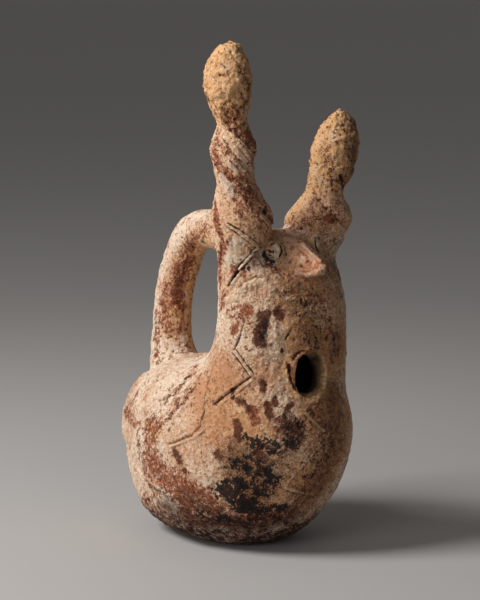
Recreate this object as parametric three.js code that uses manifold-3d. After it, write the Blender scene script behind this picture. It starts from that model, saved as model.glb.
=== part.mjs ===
// A zoomorphic askos: a hollow, hand-built pouring vessel of fired clay in the shape of a horned animal.
// It is built as the potter built it, from pieces made one by one and luted together. The hollow ones are a
// pinched bowl, the back that closes it, the neck with its filling hole and the crown of the head. The solid
// ones are the ring that lines the hole, two twisted horns, a coil handle, a tail, a muzzle and two eyes.
// Millimetres. +X is the animal's left, +Y runs towards its tail and +Z is up. The origin is the centre of
// the small flat that the belly stands on.
import * as THREE from "three";
import { mergeVertices } from "three/addons/utils/BufferGeometryUtils.js";
import Module from "manifold-3d";

const wasm = await Module();
wasm.setup();

// Driving dimensions.
const WALL = 6; // thickness of the wall all over
const GAP = 0.3; // the film of slip between two pieces that are luted together
const NECK_Y = -23; // the neck's axis lies this far in front of the flat
const HANDLE_R = 7.8; // the handle is a finger-thick coil
const PEG_R = 5; // its lower end is a peg through the wall of the back
const HALF_TWIST = 27; // a horn's flattened section turns half round in this height
const BORE = { across: 6.6, upright: 8.6 }; // half widths of the hole in the chest
const BORE_LEAN = 12; // degrees that the oval hole leans towards the animal's right
const BORE_RUN = { from: 12, to: 36 }; // it runs through the wall between these, in front of the neck's axis
const RING_WALL = 1.9; // thickness of the clay ring that lines the hole
const RING_PROUD = 0.8; // it stands this far out of the wall, and as far into the hollow
const EYE_R = 3.6;
const EYE_PROUD = 1.4;
const EYE_ROOT = 4; // its pellet reaches this far inwards, where the head trims it
const EYE_BEVEL = 0.7;
const EYE_STAMP = { inner: 1.2, middle: 1.8, outer: 2.4, depth: 1 }; // the ring stamped in each eye
const EYE_FACING = { x: 0.45, y: -1, z: 0.35 }; // on the animal's left

// How finely the curved pieces are drawn.
const AROUND = 36; // sides of a ring of the vessel's wall
const RINGS_A_STATION = 2; // rings of the wall between two stations
const HORN_SIDES = 24;
const HANDLE_SIDES = 20;
const TAIL_SIDES = 16;
const ROD_RINGS = 3; // rings of the handle and the tail between two stations
const MUZZLE_SIDES = 14;
const MUZZLE_RINGS = 2;
const HOLE_SIDES = 28;
const PEG_SIDES = 20;
const EYE_SIDES = 20;
const WELD = 1e-4; // corners nearer than this are one corner
const SLOPE_STEP = 0.02; // stations, and radians, over which the wall's slope is measured

// Stations up the wall, from the flat to the crown. front and back are [y, z] on the middle plane, half is
// half the width, and widest is where the greatest width lies, as a share of the way from front to back.
const STATIONS = [
  { front: [-13, 0], back: [13, 0], half: 13, widest: 0.5 },
  { front: [-19.5, 1.8], back: [35.5, 2.2], half: 20.5, widest: 0.44 },
  { front: [-27, 6.5], back: [48.5, 7], half: 28, widest: 0.42 },
  { front: [-34.3, 13.5], back: [55, 14], half: 33.2, widest: 0.41 },
  { front: [-41.5, 23.5], back: [58.6, 24.5], half: 36.9, widest: 0.4 },
  { front: [-46.5, 34], back: [60.2, 35], half: 38.6, widest: 0.4 },
  { front: [-49, 43], back: [59.8, 45], half: 39, widest: 0.4 },
  { front: [-49.6, 50], back: [56.5, 56], half: 37.5, widest: 0.4 },
  { front: [-49, 56], back: [48, 64.5], half: 34.5, widest: 0.41 },
  { front: [-48.4, 61], back: [35, 70], half: 31.5, widest: 0.43 },
  { front: [-47.8, 66], back: [19, 73], half: 29.3, widest: 0.45 },
  { front: [-47.2, 73], back: [6, 78], half: 28.4, widest: 0.48 },
  { front: [-47, 82], back: [-0.5, 87], half: 28.2, widest: 0.5 },
  { front: [-46.2, 93], back: [-3, 97], half: 28, widest: 0.5 },
  { front: [-43.6, 103], back: [-4, 106], half: 27.6, widest: 0.5 },
  { front: [-39.8, 111], back: [-4.4, 113], half: 27.4, widest: 0.5 },
  { front: [-35.6, 118], back: [-6, 119.5], half: 26.4, widest: 0.5 },
  { front: [-31, 124.6], back: [-11, 125.4], half: 20, widest: 0.5 },
  { front: [-22, 128.6], back: [-22, 128.6], half: 0, widest: 0.5 },
];
const BOWL_RIM = 5; // the seams between the four pieces of the wall, as station numbers
const NECK_ROOT = 9;
const HEAD_SEAM = 14;
const CROWN = STATIONS.length - 1;
const LAST_RING = CROWN - 0.35; // the last full ring below the crown
const SEAM = 0.02; // half of a seam's width, in stations

// Stations up each horn's axis, from its root to its tip, with the half widths of its section and the depth
// of the two creases between its strands. At the pinch the section stands broadside to the animal's right
// and front. The creases wind up the horn at a fixed angle from its broad side. A dome closes its last ring.
const BROADSIDE = THREE.MathUtils.degToRad(50);
const CREASE_TURN = THREE.MathUtils.degToRad(-27);
const TALL_HORN = {
  pinch: 148.5,
  rings: 38,
  dome: 1.2,
  stations: [
    { at: [-17.5, NECK_Y + 2, 110], broad: 8.5, narrow: 8, crease: 0 },
    { at: [-18.6, NECK_Y + 1.5, 122], broad: 11, narrow: 10.4, crease: 1.1 },
    { at: [-19.5, NECK_Y, 133.5], broad: 12.4, narrow: 10.8, crease: 1.7 },
    { at: [-22, NECK_Y, 146], broad: 9.6, narrow: 7.9, crease: 2 },
    { at: [-24, NECK_Y, 154], broad: 9.4, narrow: 7.2, crease: 1.8 },
    { at: [-24.4, NECK_Y, 162], broad: 9.3, narrow: 7, crease: 1.8 },
    { at: [-25.2, NECK_Y, 171.5], broad: 7.2, narrow: 5.7, crease: 1.3 },
    { at: [-26.4, NECK_Y, 178.5], broad: 8.3, narrow: 7.3, crease: 0.4 },
    { at: [-27.4, NECK_Y, 187], broad: 9.4, narrow: 8.3, crease: 0 },
    { at: [-27.3, NECK_Y, 196], broad: 7.8, narrow: 7.2, crease: 0 },
    { at: [-26.6, NECK_Y, 202], broad: 4.2, narrow: 4, crease: 0 },
  ],
};
const SHORT_HORN = {
  pinch: 142,
  rings: 28,
  dome: 2.6,
  stations: [
    { at: [17.5, NECK_Y + 2, 110], broad: 8.5, narrow: 8, crease: 0 },
    { at: [19.4, NECK_Y + 1.5, 121], broad: 11.6, narrow: 11, crease: 0.8 },
    { at: [20.6, NECK_Y, 131], broad: 13.4, narrow: 12.2, crease: 1.3 },
    { at: [23.7, NECK_Y, 142.5], broad: 8.8, narrow: 7.4, crease: 1.5 },
    { at: [27.3, NECK_Y, 149.5], broad: 9.3, narrow: 8.4, crease: 1 },
    { at: [29.5, NECK_Y, 158], broad: 9.3, narrow: 8.4, crease: 0.4 },
    { at: [31.7, NECK_Y, 167], broad: 7.4, narrow: 7, crease: 0 },
    { at: [32.2, NECK_Y, 171.8], broad: 3.8, narrow: 3.6, crease: 0 },
  ],
};

// The rods that are luted onto the wall run on the middle plane. side and deep are their half widths
// sideways and on that plane.
const HANDLE = [
  { at: [-12, 117], side: 9, deep: 8.6 },
  { at: [4, 122.4], side: 8.8, deep: 8.4 },
  { at: [19.5, 124.2], side: HANDLE_R, deep: HANDLE_R },
  { at: [30, 121.6], side: HANDLE_R, deep: HANDLE_R },
  { at: [35.6, 115.4], side: HANDLE_R, deep: HANDLE_R },
  { at: [40, 107], side: HANDLE_R, deep: HANDLE_R },
  { at: [43.6, 97], side: HANDLE_R, deep: HANDLE_R },
  { at: [45.6, 86], side: HANDLE_R, deep: HANDLE_R },
  { at: [46.2, 77], side: HANDLE_R + 0.5, deep: HANDLE_R + 0.5 },
  { at: [44.8, 69], side: 9.6, deep: 9.8 },
  { at: [42, 60], side: 12, deep: 12 },
];
const TAIL = [
  { at: [48, 58], side: 7.5, deep: 5 },
  { at: [57.5, 53], side: 8.5, deep: 7.5 },
  { at: [63.5, 44], side: 8.4, deep: 9.4 },
  { at: [66, 34], side: 7.6, deep: 10.2 },
  { at: [65, 26], side: 4.6, deep: 7 },
];
const MUZZLE = [
  { at: [-24, 117.5], side: 9, deep: 9.5 },
  { at: [-33, 117.2], side: 7.4, deep: 8 },
  { at: [-40, 116.4], side: 5, deep: 5.6 },
  { at: [-46, 115.4], side: 2.8, deep: 3.4 },
  { at: [-49.4, 114.8], side: 1.2, deep: 1.6 },
];
const PEG = { from: [44.5, 70], to: [39, 51] };
const BORE_AT = { x: -5, z: 74 };
const EYE_AT = { x: 11, y: -32.4, z: 121.5 }; // on the animal's left, and the same on its right

const CREAM_CRUST = { color: 0xcfa983, roughness: 0.93, metalness: 0 };
const SANDY_CORE = { color: 0xc99a68, roughness: 0.96, metalness: 0 };
const WORN_SLIP = { color: 0xb4724f, roughness: 0.88, metalness: 0 };
const PINK_SLIP = { color: 0xb9705a, roughness: 0.88, metalness: 0 };

// Turns a closed geometry into a solid that can be joined and cut.
function solidOf(geometry) {
  const bare = geometry.clone();
  bare.deleteAttribute("normal");
  bare.deleteAttribute("uv");
  const merged = mergeVertices(bare, WELD);
  const mesh = new wasm.Mesh({
    numProp: 3,
    vertProperties: merged.attributes.position.array,
    triVerts: new Uint32Array(merged.index.array),
  });
  return new wasm.Manifold(mesh);
}

// Turns a solid back into a named mesh with its own material.
function meshOf(name, solid, finish) {
  const { numProp, numVert, vertProperties, triVerts } = solid.getMesh();
  const positions = new Float32Array(numVert * 3);
  for (let i = 0; i < numVert; i++) {
    positions.set(vertProperties.subarray(i * numProp, i * numProp + 3), i * 3);
  }
  const geometry = new THREE.BufferGeometry();
  geometry.setAttribute("position", new THREE.BufferAttribute(positions, 3));
  geometry.setIndex(new THREE.BufferAttribute(triVerts, 1));
  geometry.computeVertexNormals();
  const mesh = new THREE.Mesh(geometry, new THREE.MeshStandardMaterial(finish));
  mesh.name = name;
  return mesh;
}

// Skins a row of rings. A ring is a list of points, anticlockwise from above, or one point where the skin
// closes. With loop set, the last ring is joined to the first.
function loft(rings, loop = false) {
  const positions = [];
  const face = (...corners) => corners.forEach((p) => positions.push(p.x, p.y, p.z));
  const steps = loop ? rings.length : rings.length - 1;
  for (let k = 0; k < steps; k++) {
    const low = rings[k];
    const high = rings[(k + 1) % rings.length];
    if (low.isVector3 && high.isVector3) continue;
    const sides = low.isVector3 ? high.length : low.length;
    for (let j = 0; j < sides; j++) {
      const next = (j + 1) % sides;
      if (low.isVector3) face(low, high[next], high[j]);
      else if (high.isVector3) face(low[j], low[next], high);
      else {
        face(low[j], low[next], high[next]);
        face(low[j], high[next], high[j]);
      }
    }
  }
  const geometry = new THREE.BufferGeometry();
  geometry.setAttribute("position", new THREE.Float32BufferAttribute(positions, 3));
  return geometry;
}

// The curves through the stations, each read at a station number that may be fractional.
const through = (points) => new THREE.CatmullRomCurve3(points);
const frontLine = through(STATIONS.map(({ front }) => new THREE.Vector3(0, ...front)));
const backLine = through(STATIONS.map(({ back }) => new THREE.Vector3(0, ...back)));
const girth = through(STATIONS.map(({ half, widest }) => new THREE.Vector3(half, widest, 0)));

// A point on the outside of the wall. The angle is 0 on the animal's left and a quarter turn at its back.
function wallPoint(station, angle) {
  const t = THREE.MathUtils.clamp(station / CROWN, 0, 1);
  const front = frontLine.getPoint(t);
  const back = backLine.getPoint(t);
  const { x: half, y: widest } = girth.getPoint(t);
  const depth = Math.sin(angle);
  const share = widest + depth * (depth < 0 ? widest : 1 - widest);
  return front.lerp(back, share).setX(half * Math.cos(angle));
}

// The same point, moved outwards by a distance, or inwards where the distance is negative.
function wallPointAt(station, angle, out) {
  const low = Math.max(station - SLOPE_STEP, 0);
  const high = Math.min(station + SLOPE_STEP, CROWN - SLOPE_STEP);
  const up = wallPoint(high, angle).sub(wallPoint(low, angle));
  const round = wallPoint(station, angle + SLOPE_STEP).sub(wallPoint(station, angle - SLOPE_STEP));
  return wallPoint(station, angle).addScaledVector(round.cross(up).normalize(), out);
}

function wallRing(station, out) {
  return Array.from({ length: AROUND }, (_, j) => wallPointAt(station, (2 * Math.PI * j) / AROUND, out));
}

function wallRings(from, to, out) {
  const count = Math.max(2, Math.round((to - from) * RINGS_A_STATION) + 1);
  return Array.from({ length: count }, (_, k) => wallRing(from + ((to - from) * k) / (count - 1), out));
}

const flatCentre = (out) => new THREE.Vector3(0, 0, -out);
const crownPoint = (out) => new THREE.Vector3(0, STATIONS[CROWN].front[0], STATIONS[CROWN].front[1] + out);

// The whole outside of the vessel as one solid, grown by a distance. It trims what is luted onto the wall.
function wholeOutside(out) {
  return solidOf(loft([flatCentre(out), ...wallRings(0, LAST_RING, out), crownPoint(out)]));
}

function bowl(rim) {
  const outer = wallRings(0, rim, 0);
  const inner = wallRings(0, rim, -WALL).reverse();
  return solidOf(loft([flatCentre(0), ...outer, ...inner, flatCentre(-WALL)]));
}

function band(from, to) {
  return solidOf(loft([...wallRings(from, to, 0), ...wallRings(from, to, -WALL).reverse()], true));
}

function crownCap(from) {
  const outer = wallRings(from, LAST_RING, 0);
  const inner = wallRings(from, LAST_RING, -WALL).reverse();
  return solidOf(loft([...outer, crownPoint(0), crownPoint(-WALL), ...inner], true));
}

// An oval ring about a centre, broad along one direction and narrow along the other.
function ovalRing(centre, broadWay, narrowWay, broad, narrow, sides) {
  return Array.from({ length: sides }, (_, j) => {
    const angle = (2 * Math.PI * j) / sides;
    return centre
      .clone()
      .addScaledVector(broadWay, broad * Math.cos(angle))
      .addScaledVector(narrowWay, narrow * Math.sin(angle));
  });
}

// A solid skinned over oval rings along a line and closed by a point at each end.
function drawnSolid(line, count, ringAt, lastPoint) {
  const rings = Array.from({ length: count + 1 }, (_, k) => ringAt(k / count));
  return solidOf(loft([line.getPoint(0), ...rings, lastPoint]));
}

const MIDDLE_SIDEWAYS = new THREE.Vector3(1, 0, 0);

// A rod of clay drawn out along a line on the middle plane, grown by a distance.
function rod(stations, sides, ringsAStation, grow = 0) {
  const line = through(stations.map(({ at }) => new THREE.Vector3(0, ...at)));
  const sizes = through(stations.map(({ side, deep }) => new THREE.Vector3(side, deep, 0)));
  const ringAt = (t) => {
    const deepWay = line.getTangent(t).cross(MIDDLE_SIDEWAYS);
    const { x: side, y: deep } = sizes.getPoint(t);
    return ovalRing(line.getPoint(t), MIDDLE_SIDEWAYS, deepWay, side + grow, deep + grow, sides);
  };
  return drawnSolid(line, (stations.length - 1) * ringsAStation, ringAt, line.getPoint(1));
}

// A horn is two strands of clay, twisted together as they climb, grown by a distance. Each ring starts in one
// crease and has the other halfway round.
function twistedHorn({ stations, pinch, rings, dome }, grow = 0) {
  const line = through(stations.map(({ at }) => new THREE.Vector3(...at)));
  const sizes = through(stations.map((s) => new THREE.Vector3(s.broad, s.narrow, s.crease)));
  const ringAt = (t) => {
    const centre = line.getPoint(t);
    const turn = BROADSIDE - (Math.PI * (centre.z - pinch)) / HALF_TWIST;
    const broadWay = new THREE.Vector3(Math.cos(turn), Math.sin(turn), 0);
    const narrowWay = new THREE.Vector3(-Math.sin(turn), Math.cos(turn), 0);
    const { x: broad, y: narrow, z: crease } = sizes.getPoint(t);
    return Array.from({ length: HORN_SIDES }, (_, j) => {
      const angle = CREASE_TURN + (2 * Math.PI * j) / HORN_SIDES;
      const inCrease = j === 0 || j === HORN_SIDES / 2;
      const out = broadWay.clone().multiplyScalar((broad + grow) * Math.cos(angle));
      out.addScaledVector(narrowWay, (narrow + grow) * Math.sin(angle));
      if (inCrease) out.setLength(out.length() - Math.max(crease, 0));
      return out.add(centre);
    });
  };
  const tip = line.getPoint(1).add(new THREE.Vector3(0, 0, dome));
  return drawnSolid(line, rings, ringAt, tip);
}

// The peg at the handle's foot, or with a gap added the socket that it goes through.
function peg(gap) {
  const start = new THREE.Vector3(0, ...PEG.from);
  const end = new THREE.Vector3(0, ...PEG.to);
  const along = end.clone().sub(start);
  const geometry = new THREE.CylinderGeometry(PEG_R + gap, PEG_R + gap, along.length() + 2 * gap, PEG_SIDES);
  const upright = new THREE.Vector3(0, 1, 0);
  geometry.applyQuaternion(new THREE.Quaternion().setFromUnitVectors(upright, along.normalize()));
  geometry.translate(...start.add(end).multiplyScalar(0.5));
  return solidOf(geometry);
}

// An oval bar through the chest, wider than the hole by a distance all round.
function chestBar(grow) {
  const line = new THREE.LineCurve3(
    new THREE.Vector3(BORE_AT.x, NECK_Y - BORE_RUN.from, BORE_AT.z),
    new THREE.Vector3(BORE_AT.x, NECK_Y - BORE_RUN.to, BORE_AT.z),
  );
  const lean = THREE.MathUtils.degToRad(BORE_LEAN);
  const upWay = new THREE.Vector3(-Math.sin(lean), 0, Math.cos(lean));
  const acrossWay = new THREE.Vector3(Math.cos(lean), 0, Math.sin(lean));
  const ringAt = (t) =>
    ovalRing(line.getPoint(t), acrossWay, upWay, BORE.across + grow, BORE.upright + grow, HOLE_SIDES);
  return drawnSolid(line, 1, ringAt, line.getPoint(1));
}

// The ring of clay that lines the hole, worn down almost to the wall that it is set in.
function spoutRoot() {
  const reach = wholeOutside(RING_PROUD).subtract(wholeOutside(-WALL - RING_PROUD));
  return chestBar(RING_WALL).subtract(chestBar(0)).intersect(reach);
}

// A pellet with a ring stamped in it, facing forwards from beside the muzzle.
function eye(side) {
  const profile = [
    [0, -EYE_ROOT],
    [EYE_R, -EYE_ROOT],
    [EYE_R, EYE_PROUD - EYE_BEVEL],
    [EYE_R - EYE_BEVEL, EYE_PROUD],
    [EYE_STAMP.outer, EYE_PROUD],
    [EYE_STAMP.middle, EYE_PROUD - EYE_STAMP.depth],
    [EYE_STAMP.inner, EYE_PROUD],
    [0, EYE_PROUD],
  ].map(([r, h]) => new THREE.Vector2(r, h));
  const geometry = new THREE.LatheGeometry(profile, EYE_SIDES);
  const facing = new THREE.Vector3(side * EYE_FACING.x, EYE_FACING.y, EYE_FACING.z).normalize();
  geometry.applyQuaternion(new THREE.Quaternion().setFromUnitVectors(new THREE.Vector3(0, 1, 0), facing));
  geometry.translate(side * EYE_AT.x, EYE_AT.y, EYE_AT.z);
  return solidOf(geometry);
}

const wallAndSlip = wholeOutside(GAP);
const hornsAndSlip = twistedHorn(TALL_HORN, GAP).add(twistedHorn(SHORT_HORN, GAP));
const handleAndSlip = rod(HANDLE, HANDLE_SIDES, ROD_RINGS, GAP);
const muzzleAndSlip = rod(MUZZLE, MUZZLE_SIDES, MUZZLE_RINGS, GAP);
const chestCut = chestBar(RING_WALL + GAP);

function handle() {
  return rod(HANDLE, HANDLE_SIDES, ROD_RINGS).subtract(wallAndSlip).subtract(hornsAndSlip).add(peg(0));
}

function setEye(side) {
  return eye(side).subtract(wallAndSlip).subtract(hornsAndSlip).subtract(muzzleAndSlip);
}

const askos = new THREE.Group();
askos.add(
  meshOf("belly_bowl", bowl(BOWL_RIM - SEAM), CREAM_CRUST),
  meshOf("back_shell", band(BOWL_RIM + SEAM, NECK_ROOT - SEAM).subtract(peg(GAP)), CREAM_CRUST),
  meshOf("neck", band(NECK_ROOT + SEAM, HEAD_SEAM - SEAM).subtract(chestCut), CREAM_CRUST),
  meshOf("head_cap", crownCap(HEAD_SEAM + SEAM), CREAM_CRUST),
  meshOf("spout_root", spoutRoot(), SANDY_CORE),
  meshOf("right_horn", twistedHorn(TALL_HORN).subtract(wallAndSlip), SANDY_CORE),
  meshOf("left_horn", twistedHorn(SHORT_HORN).subtract(wallAndSlip), SANDY_CORE),
  meshOf("handle", handle(), WORN_SLIP),
  meshOf("tail", rod(TAIL, TAIL_SIDES, ROD_RINGS).subtract(wallAndSlip).subtract(handleAndSlip), CREAM_CRUST),
  meshOf("muzzle", rod(MUZZLE, MUZZLE_SIDES, MUZZLE_RINGS).subtract(wallAndSlip), PINK_SLIP),
  meshOf("right_eye", setEye(-1), CREAM_CRUST),
  meshOf("left_eye", setEye(1), CREAM_CRUST),
);

export default askos;
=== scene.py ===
"""A zoomorphic askos of fired clay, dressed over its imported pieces.

The pieces of the frame are copied, grown until their films of slip close, and drawn into one skin of clay,
as the potter's wet joints were. The skin is worked with the lines, pits and lumps of the real pot and is cut
again at its joints, so that each piece of the pot is a closed solid of its own.
"""
import logging
import math
from collections.abc import Iterator
from contextlib import contextmanager
from dataclasses import dataclass, field
from enum import Enum
from functools import partial

import bpy
import numpy as np
from mathutils import Matrix, Vector
from mathutils.kdtree import KDTree


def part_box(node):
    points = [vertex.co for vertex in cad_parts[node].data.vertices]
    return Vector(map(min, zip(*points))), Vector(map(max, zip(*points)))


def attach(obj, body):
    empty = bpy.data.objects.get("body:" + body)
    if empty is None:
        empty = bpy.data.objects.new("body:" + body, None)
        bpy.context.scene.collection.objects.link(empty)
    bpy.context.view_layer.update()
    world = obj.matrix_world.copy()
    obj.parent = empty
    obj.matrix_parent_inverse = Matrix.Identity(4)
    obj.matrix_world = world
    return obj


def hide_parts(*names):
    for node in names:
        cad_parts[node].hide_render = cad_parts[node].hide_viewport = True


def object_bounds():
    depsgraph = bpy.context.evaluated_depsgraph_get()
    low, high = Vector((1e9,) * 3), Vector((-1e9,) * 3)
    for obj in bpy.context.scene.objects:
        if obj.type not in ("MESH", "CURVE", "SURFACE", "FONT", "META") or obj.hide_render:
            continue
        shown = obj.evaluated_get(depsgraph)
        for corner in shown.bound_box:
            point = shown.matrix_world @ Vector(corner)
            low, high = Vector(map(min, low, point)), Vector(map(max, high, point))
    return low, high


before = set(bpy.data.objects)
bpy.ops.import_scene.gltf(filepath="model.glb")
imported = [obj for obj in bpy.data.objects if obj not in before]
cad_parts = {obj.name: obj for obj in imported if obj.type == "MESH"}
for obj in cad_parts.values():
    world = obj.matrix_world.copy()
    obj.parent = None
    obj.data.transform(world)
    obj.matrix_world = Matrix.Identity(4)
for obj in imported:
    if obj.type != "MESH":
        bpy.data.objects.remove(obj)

CAD_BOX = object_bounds()
MM = 0.001

log = logging.getLogger("askos")

Pixel = tuple[float, float]
Place = tuple[float, float, float]
Corner = tuple[float, float]
Span = tuple[float, float]


class Layer(Enum):
    """What lies on the clay or shows through it, and the shade and highlights painted on it, each kept on the
    mesh as an attribute of that name.
    """

    SLIP = "slip"
    SOOT = "soot"
    CORE = "core"
    # Pale lime crust, and a painted highlight on the eye's disc.
    CHALK_AND_HIGHLIGHT = "chalk"
    BLUSH = "blush"
    # Dark earth in cuts and pits, and painted shade in some cuts.
    GRIME_AND_SHADE = "grime"
    # Pale on the crests of raised lines: pale paste, and partly a painted highlight.
    PASTE = "paste"
    # Dark brown: slip that the fire burnt, and painted shade on the sides away from the lamp and under the
    # belly.
    SMOKE = "smoke"
    # Tan over the clay: its tone, and partly painted shade on surfaces turned away from the lamp.
    EARTH_AND_SHADE = "earth"
    # The hollow's bare clay; where above 1, painted shade deep in the hole.
    INSIDE = "inside"


class Keep(Enum):
    """What a cut leaves of a piece: what lies in the cutting zone, or what lies outside it."""

    WITHIN = "INTERSECT"
    BEYOND = "DIFFERENCE"


def linear(colour: str) -> tuple[float, float, float, float]:
    """Turns an sRGB colour into the linear one that the shaders take.

    Args:
        colour: the colour as six hex digits.

    Returns:
        Red, green, blue and an alpha of 1.
    """
    channels = [int(colour[k : k + 2], 16) / 255 for k in (0, 2, 4)]
    return (*[c / 12.92 if c <= 0.04045 else ((c + 0.055) / 1.055) ** 2.4 for c in channels], 1.0)


def per_mm(size: float) -> float:
    """Gives the scale of a pattern whose grains are this many millimetres wide."""
    return 1 / (size * MM)


def smoothstep(low: float, high: float, values: np.ndarray) -> np.ndarray:
    """Eases values from 0 at low to 1 at high."""
    share = np.clip((values - low) / (high - low), 0, 1)
    return share * share * (3 - 2 * share)


def select_only(piece: bpy.types.Object) -> None:
    """Selects one object alone and makes it the active one.

    Args:
        piece: the object to select.
    """
    bpy.ops.object.select_all(action="DESELECT")
    piece.select_set(True)
    bpy.context.view_layer.objects.active = piece


@contextmanager
def editing(piece: bpy.types.Object) -> Iterator[None]:
    """Holds one object in edit mode, with faces as what is selected.

    Args:
        piece: the object to edit.

    Returns:
        A context, after which the object is back in object mode.
    """
    select_only(piece)
    bpy.ops.object.mode_set(mode="EDIT")
    bpy.ops.mesh.select_mode(type="FACE")
    yield
    bpy.ops.object.mode_set(mode="OBJECT")


def vertex_places(piece: bpy.types.Object) -> np.ndarray:
    """Gives the places of all vertices in millimetres, one row each.

    Args:
        piece: the object to read.

    Returns:
        An array with three columns.
    """
    flat = np.empty(len(piece.data.vertices) * 3, np.float32)
    piece.data.vertices.foreach_get("co", flat)
    return flat.reshape(-1, 3) / MM


def vertex_normals(piece: bpy.types.Object) -> np.ndarray:
    """Gives the outward directions at all vertices, one row each.

    Args:
        piece: the object to read.

    Returns:
        An array with three columns.
    """
    flat = np.empty(len(piece.data.vertices) * 3, np.float32)
    piece.data.vertex_normals.foreach_get("vector", flat)
    return flat.reshape(-1, 3)


def distance_to(line: np.ndarray, points: np.ndarray, reach: float) -> tuple[np.ndarray, np.ndarray]:
    """Measures how far the points near a line are from it.

    Args:
        line: the points of the line, one row each.
        points: the points to measure, one row each.
        reach: how far from the line a point may be and still count.

    Returns:
        The numbers of the points that are near, and their distances.
    """
    low, high = line.min(axis=0) - reach, line.max(axis=0) + reach
    near = np.flatnonzero(np.all((points > low) & (points < high), axis=1))
    chosen = points[near]
    best = np.full(len(near), np.inf)
    ends = line[1:] if len(line) > 1 else line
    for start, end in zip(line, ends):
        along = end - start
        length = max(float(along @ along), 1e-9)
        share = np.clip((chosen - start) @ along / length, 0, 1)
        gap = chosen - start - share[:, None] * along
        best = np.minimum(best, np.sqrt(np.einsum("ij,ij->i", gap, gap)))
    return near, best


def nearest_of(points: np.ndarray) -> KDTree:
    """Makes a tree that finds the nearest of many places.

    Args:
        points: the places, one row each.

    Returns:
        The tree, which knows each place by its row.
    """
    tree = KDTree(len(points))
    for number, point in enumerate(points.tolist()):
        tree.insert(point, number)
    tree.balance()
    return tree


def hollow(gaps: np.ndarray, half_width: float) -> np.ndarray:
    """Gives the round profile of a groove or pit, 1 in its middle and 0 from its edge on."""
    return (1 - np.clip(np.abs(gaps) / half_width, 0, 1) ** 2) ** 2


@dataclass(frozen=True)
class PhotoView:
    """The view of the photograph, worked out from the pot's outline in it. Lengths are millimetres."""

    width: int = 480
    height: int = 600
    azimuth: float = -40.0
    elevation: float = 9.0
    distance: float = 1200.0
    focal: float = 3000.0  # in pixels
    mark: Place = (0.0, 0.0, 100.0)  # a place on the pot's upright axis
    mark_pixel: Pixel = (243.0, 293.0)  # where the photograph shows it
    sensor: float = 36.0
    nearest: float = 0.05  # what the camera sees begins here, in metres
    farthest: float = 60.0  # and ends here

    def axes(self) -> tuple[Vector, Vector, Vector]:
        """Gives the directions to the right of the view, up it and back out of it.

        Returns:
            Three unit vectors.
        """
        azimuth, elevation = math.radians(self.azimuth), math.radians(self.elevation)
        right = Vector((math.cos(azimuth), math.sin(azimuth), 0))
        level = Vector((math.sin(azimuth), -math.cos(azimuth), 0))
        back = level * math.cos(elevation) + Vector((0, 0, math.sin(elevation)))
        return right, back.cross(right), back

    def eye(self) -> Vector:
        """Gives the camera's place, in metres.

        Returns:
            The place from which the mark is seen at its pixel.
        """
        right, up, back = self.axes()
        pixel = self.distance / self.focal
        aim = Vector(self.mark)
        aim += right * (self.width / 2 - self.mark_pixel[0]) * pixel
        aim += up * (self.mark_pixel[1] - self.height / 2) * pixel
        return (aim + back * self.distance) * MM

    def ray(self, pixel: Pixel) -> Vector:
        """Gives the direction in which the camera sees a pixel.

        Args:
            pixel: the pixel, counted from the photograph's upper left corner.

        Returns:
            A unit vector.
        """
        right, up, back = self.axes()
        across = right * (pixel[0] - self.width / 2)
        rise = up * (self.height / 2 - pixel[1])
        return (across + rise - back * self.focal).normalized()

    def make_camera(self) -> bpy.types.Object:
        """Makes the camera and gives it to the scene.

        Returns:
            The camera.
        """
        data = bpy.data.cameras.new("photo_view")
        data.sensor_width = self.sensor
        data.lens = self.focal * self.sensor / self.height
        data.clip_start = self.nearest
        data.clip_end = self.farthest
        camera = bpy.data.objects.new("photo_view", data)
        turn = Matrix(self.axes()).transposed().to_4x4()
        camera.matrix_world = Matrix.Translation(self.eye()) @ turn
        bpy.context.scene.collection.objects.link(camera)
        bpy.context.scene.camera = camera
        return camera


VIEW = PhotoView()


@dataclass(frozen=True)
class SeenLine:
    """A line on the side that the photograph shows, by the pixels that it passes through."""

    pixels: tuple[Pixel, ...]
    mirrored: bool = False  # the same line on the pot's other side

    def trace(self, skin: bpy.types.Object) -> np.ndarray:
        """Lays the line on the skin, a point every two pixels.

        Args:
            skin: the object that the line lies on.

        Returns:
            The line's points in millimetres, one row each.
        """
        step = 2.0
        seen = [self.pixels[0]]
        for (u0, v0), (u1, v1) in zip(self.pixels, self.pixels[1:]):
            count = max(1, round(math.hypot(u1 - u0, v1 - v0) / step))
            seen += [(u0 + (u1 - u0) * k / count, v0 + (v1 - v0) * k / count) for k in range(1, count + 1)]
        points = []
        for pixel in seen:
            hit, place, _, _ = skin.ray_cast(VIEW.eye(), VIEW.ray(pixel))
            if not hit:
                continue
            if self.mirrored:
                _, place, _, _ = skin.closest_point_on_mesh(Vector((-place.x, place.y, place.z)))
            points.append(tuple(place / MM))
        return np.array(points)


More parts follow.
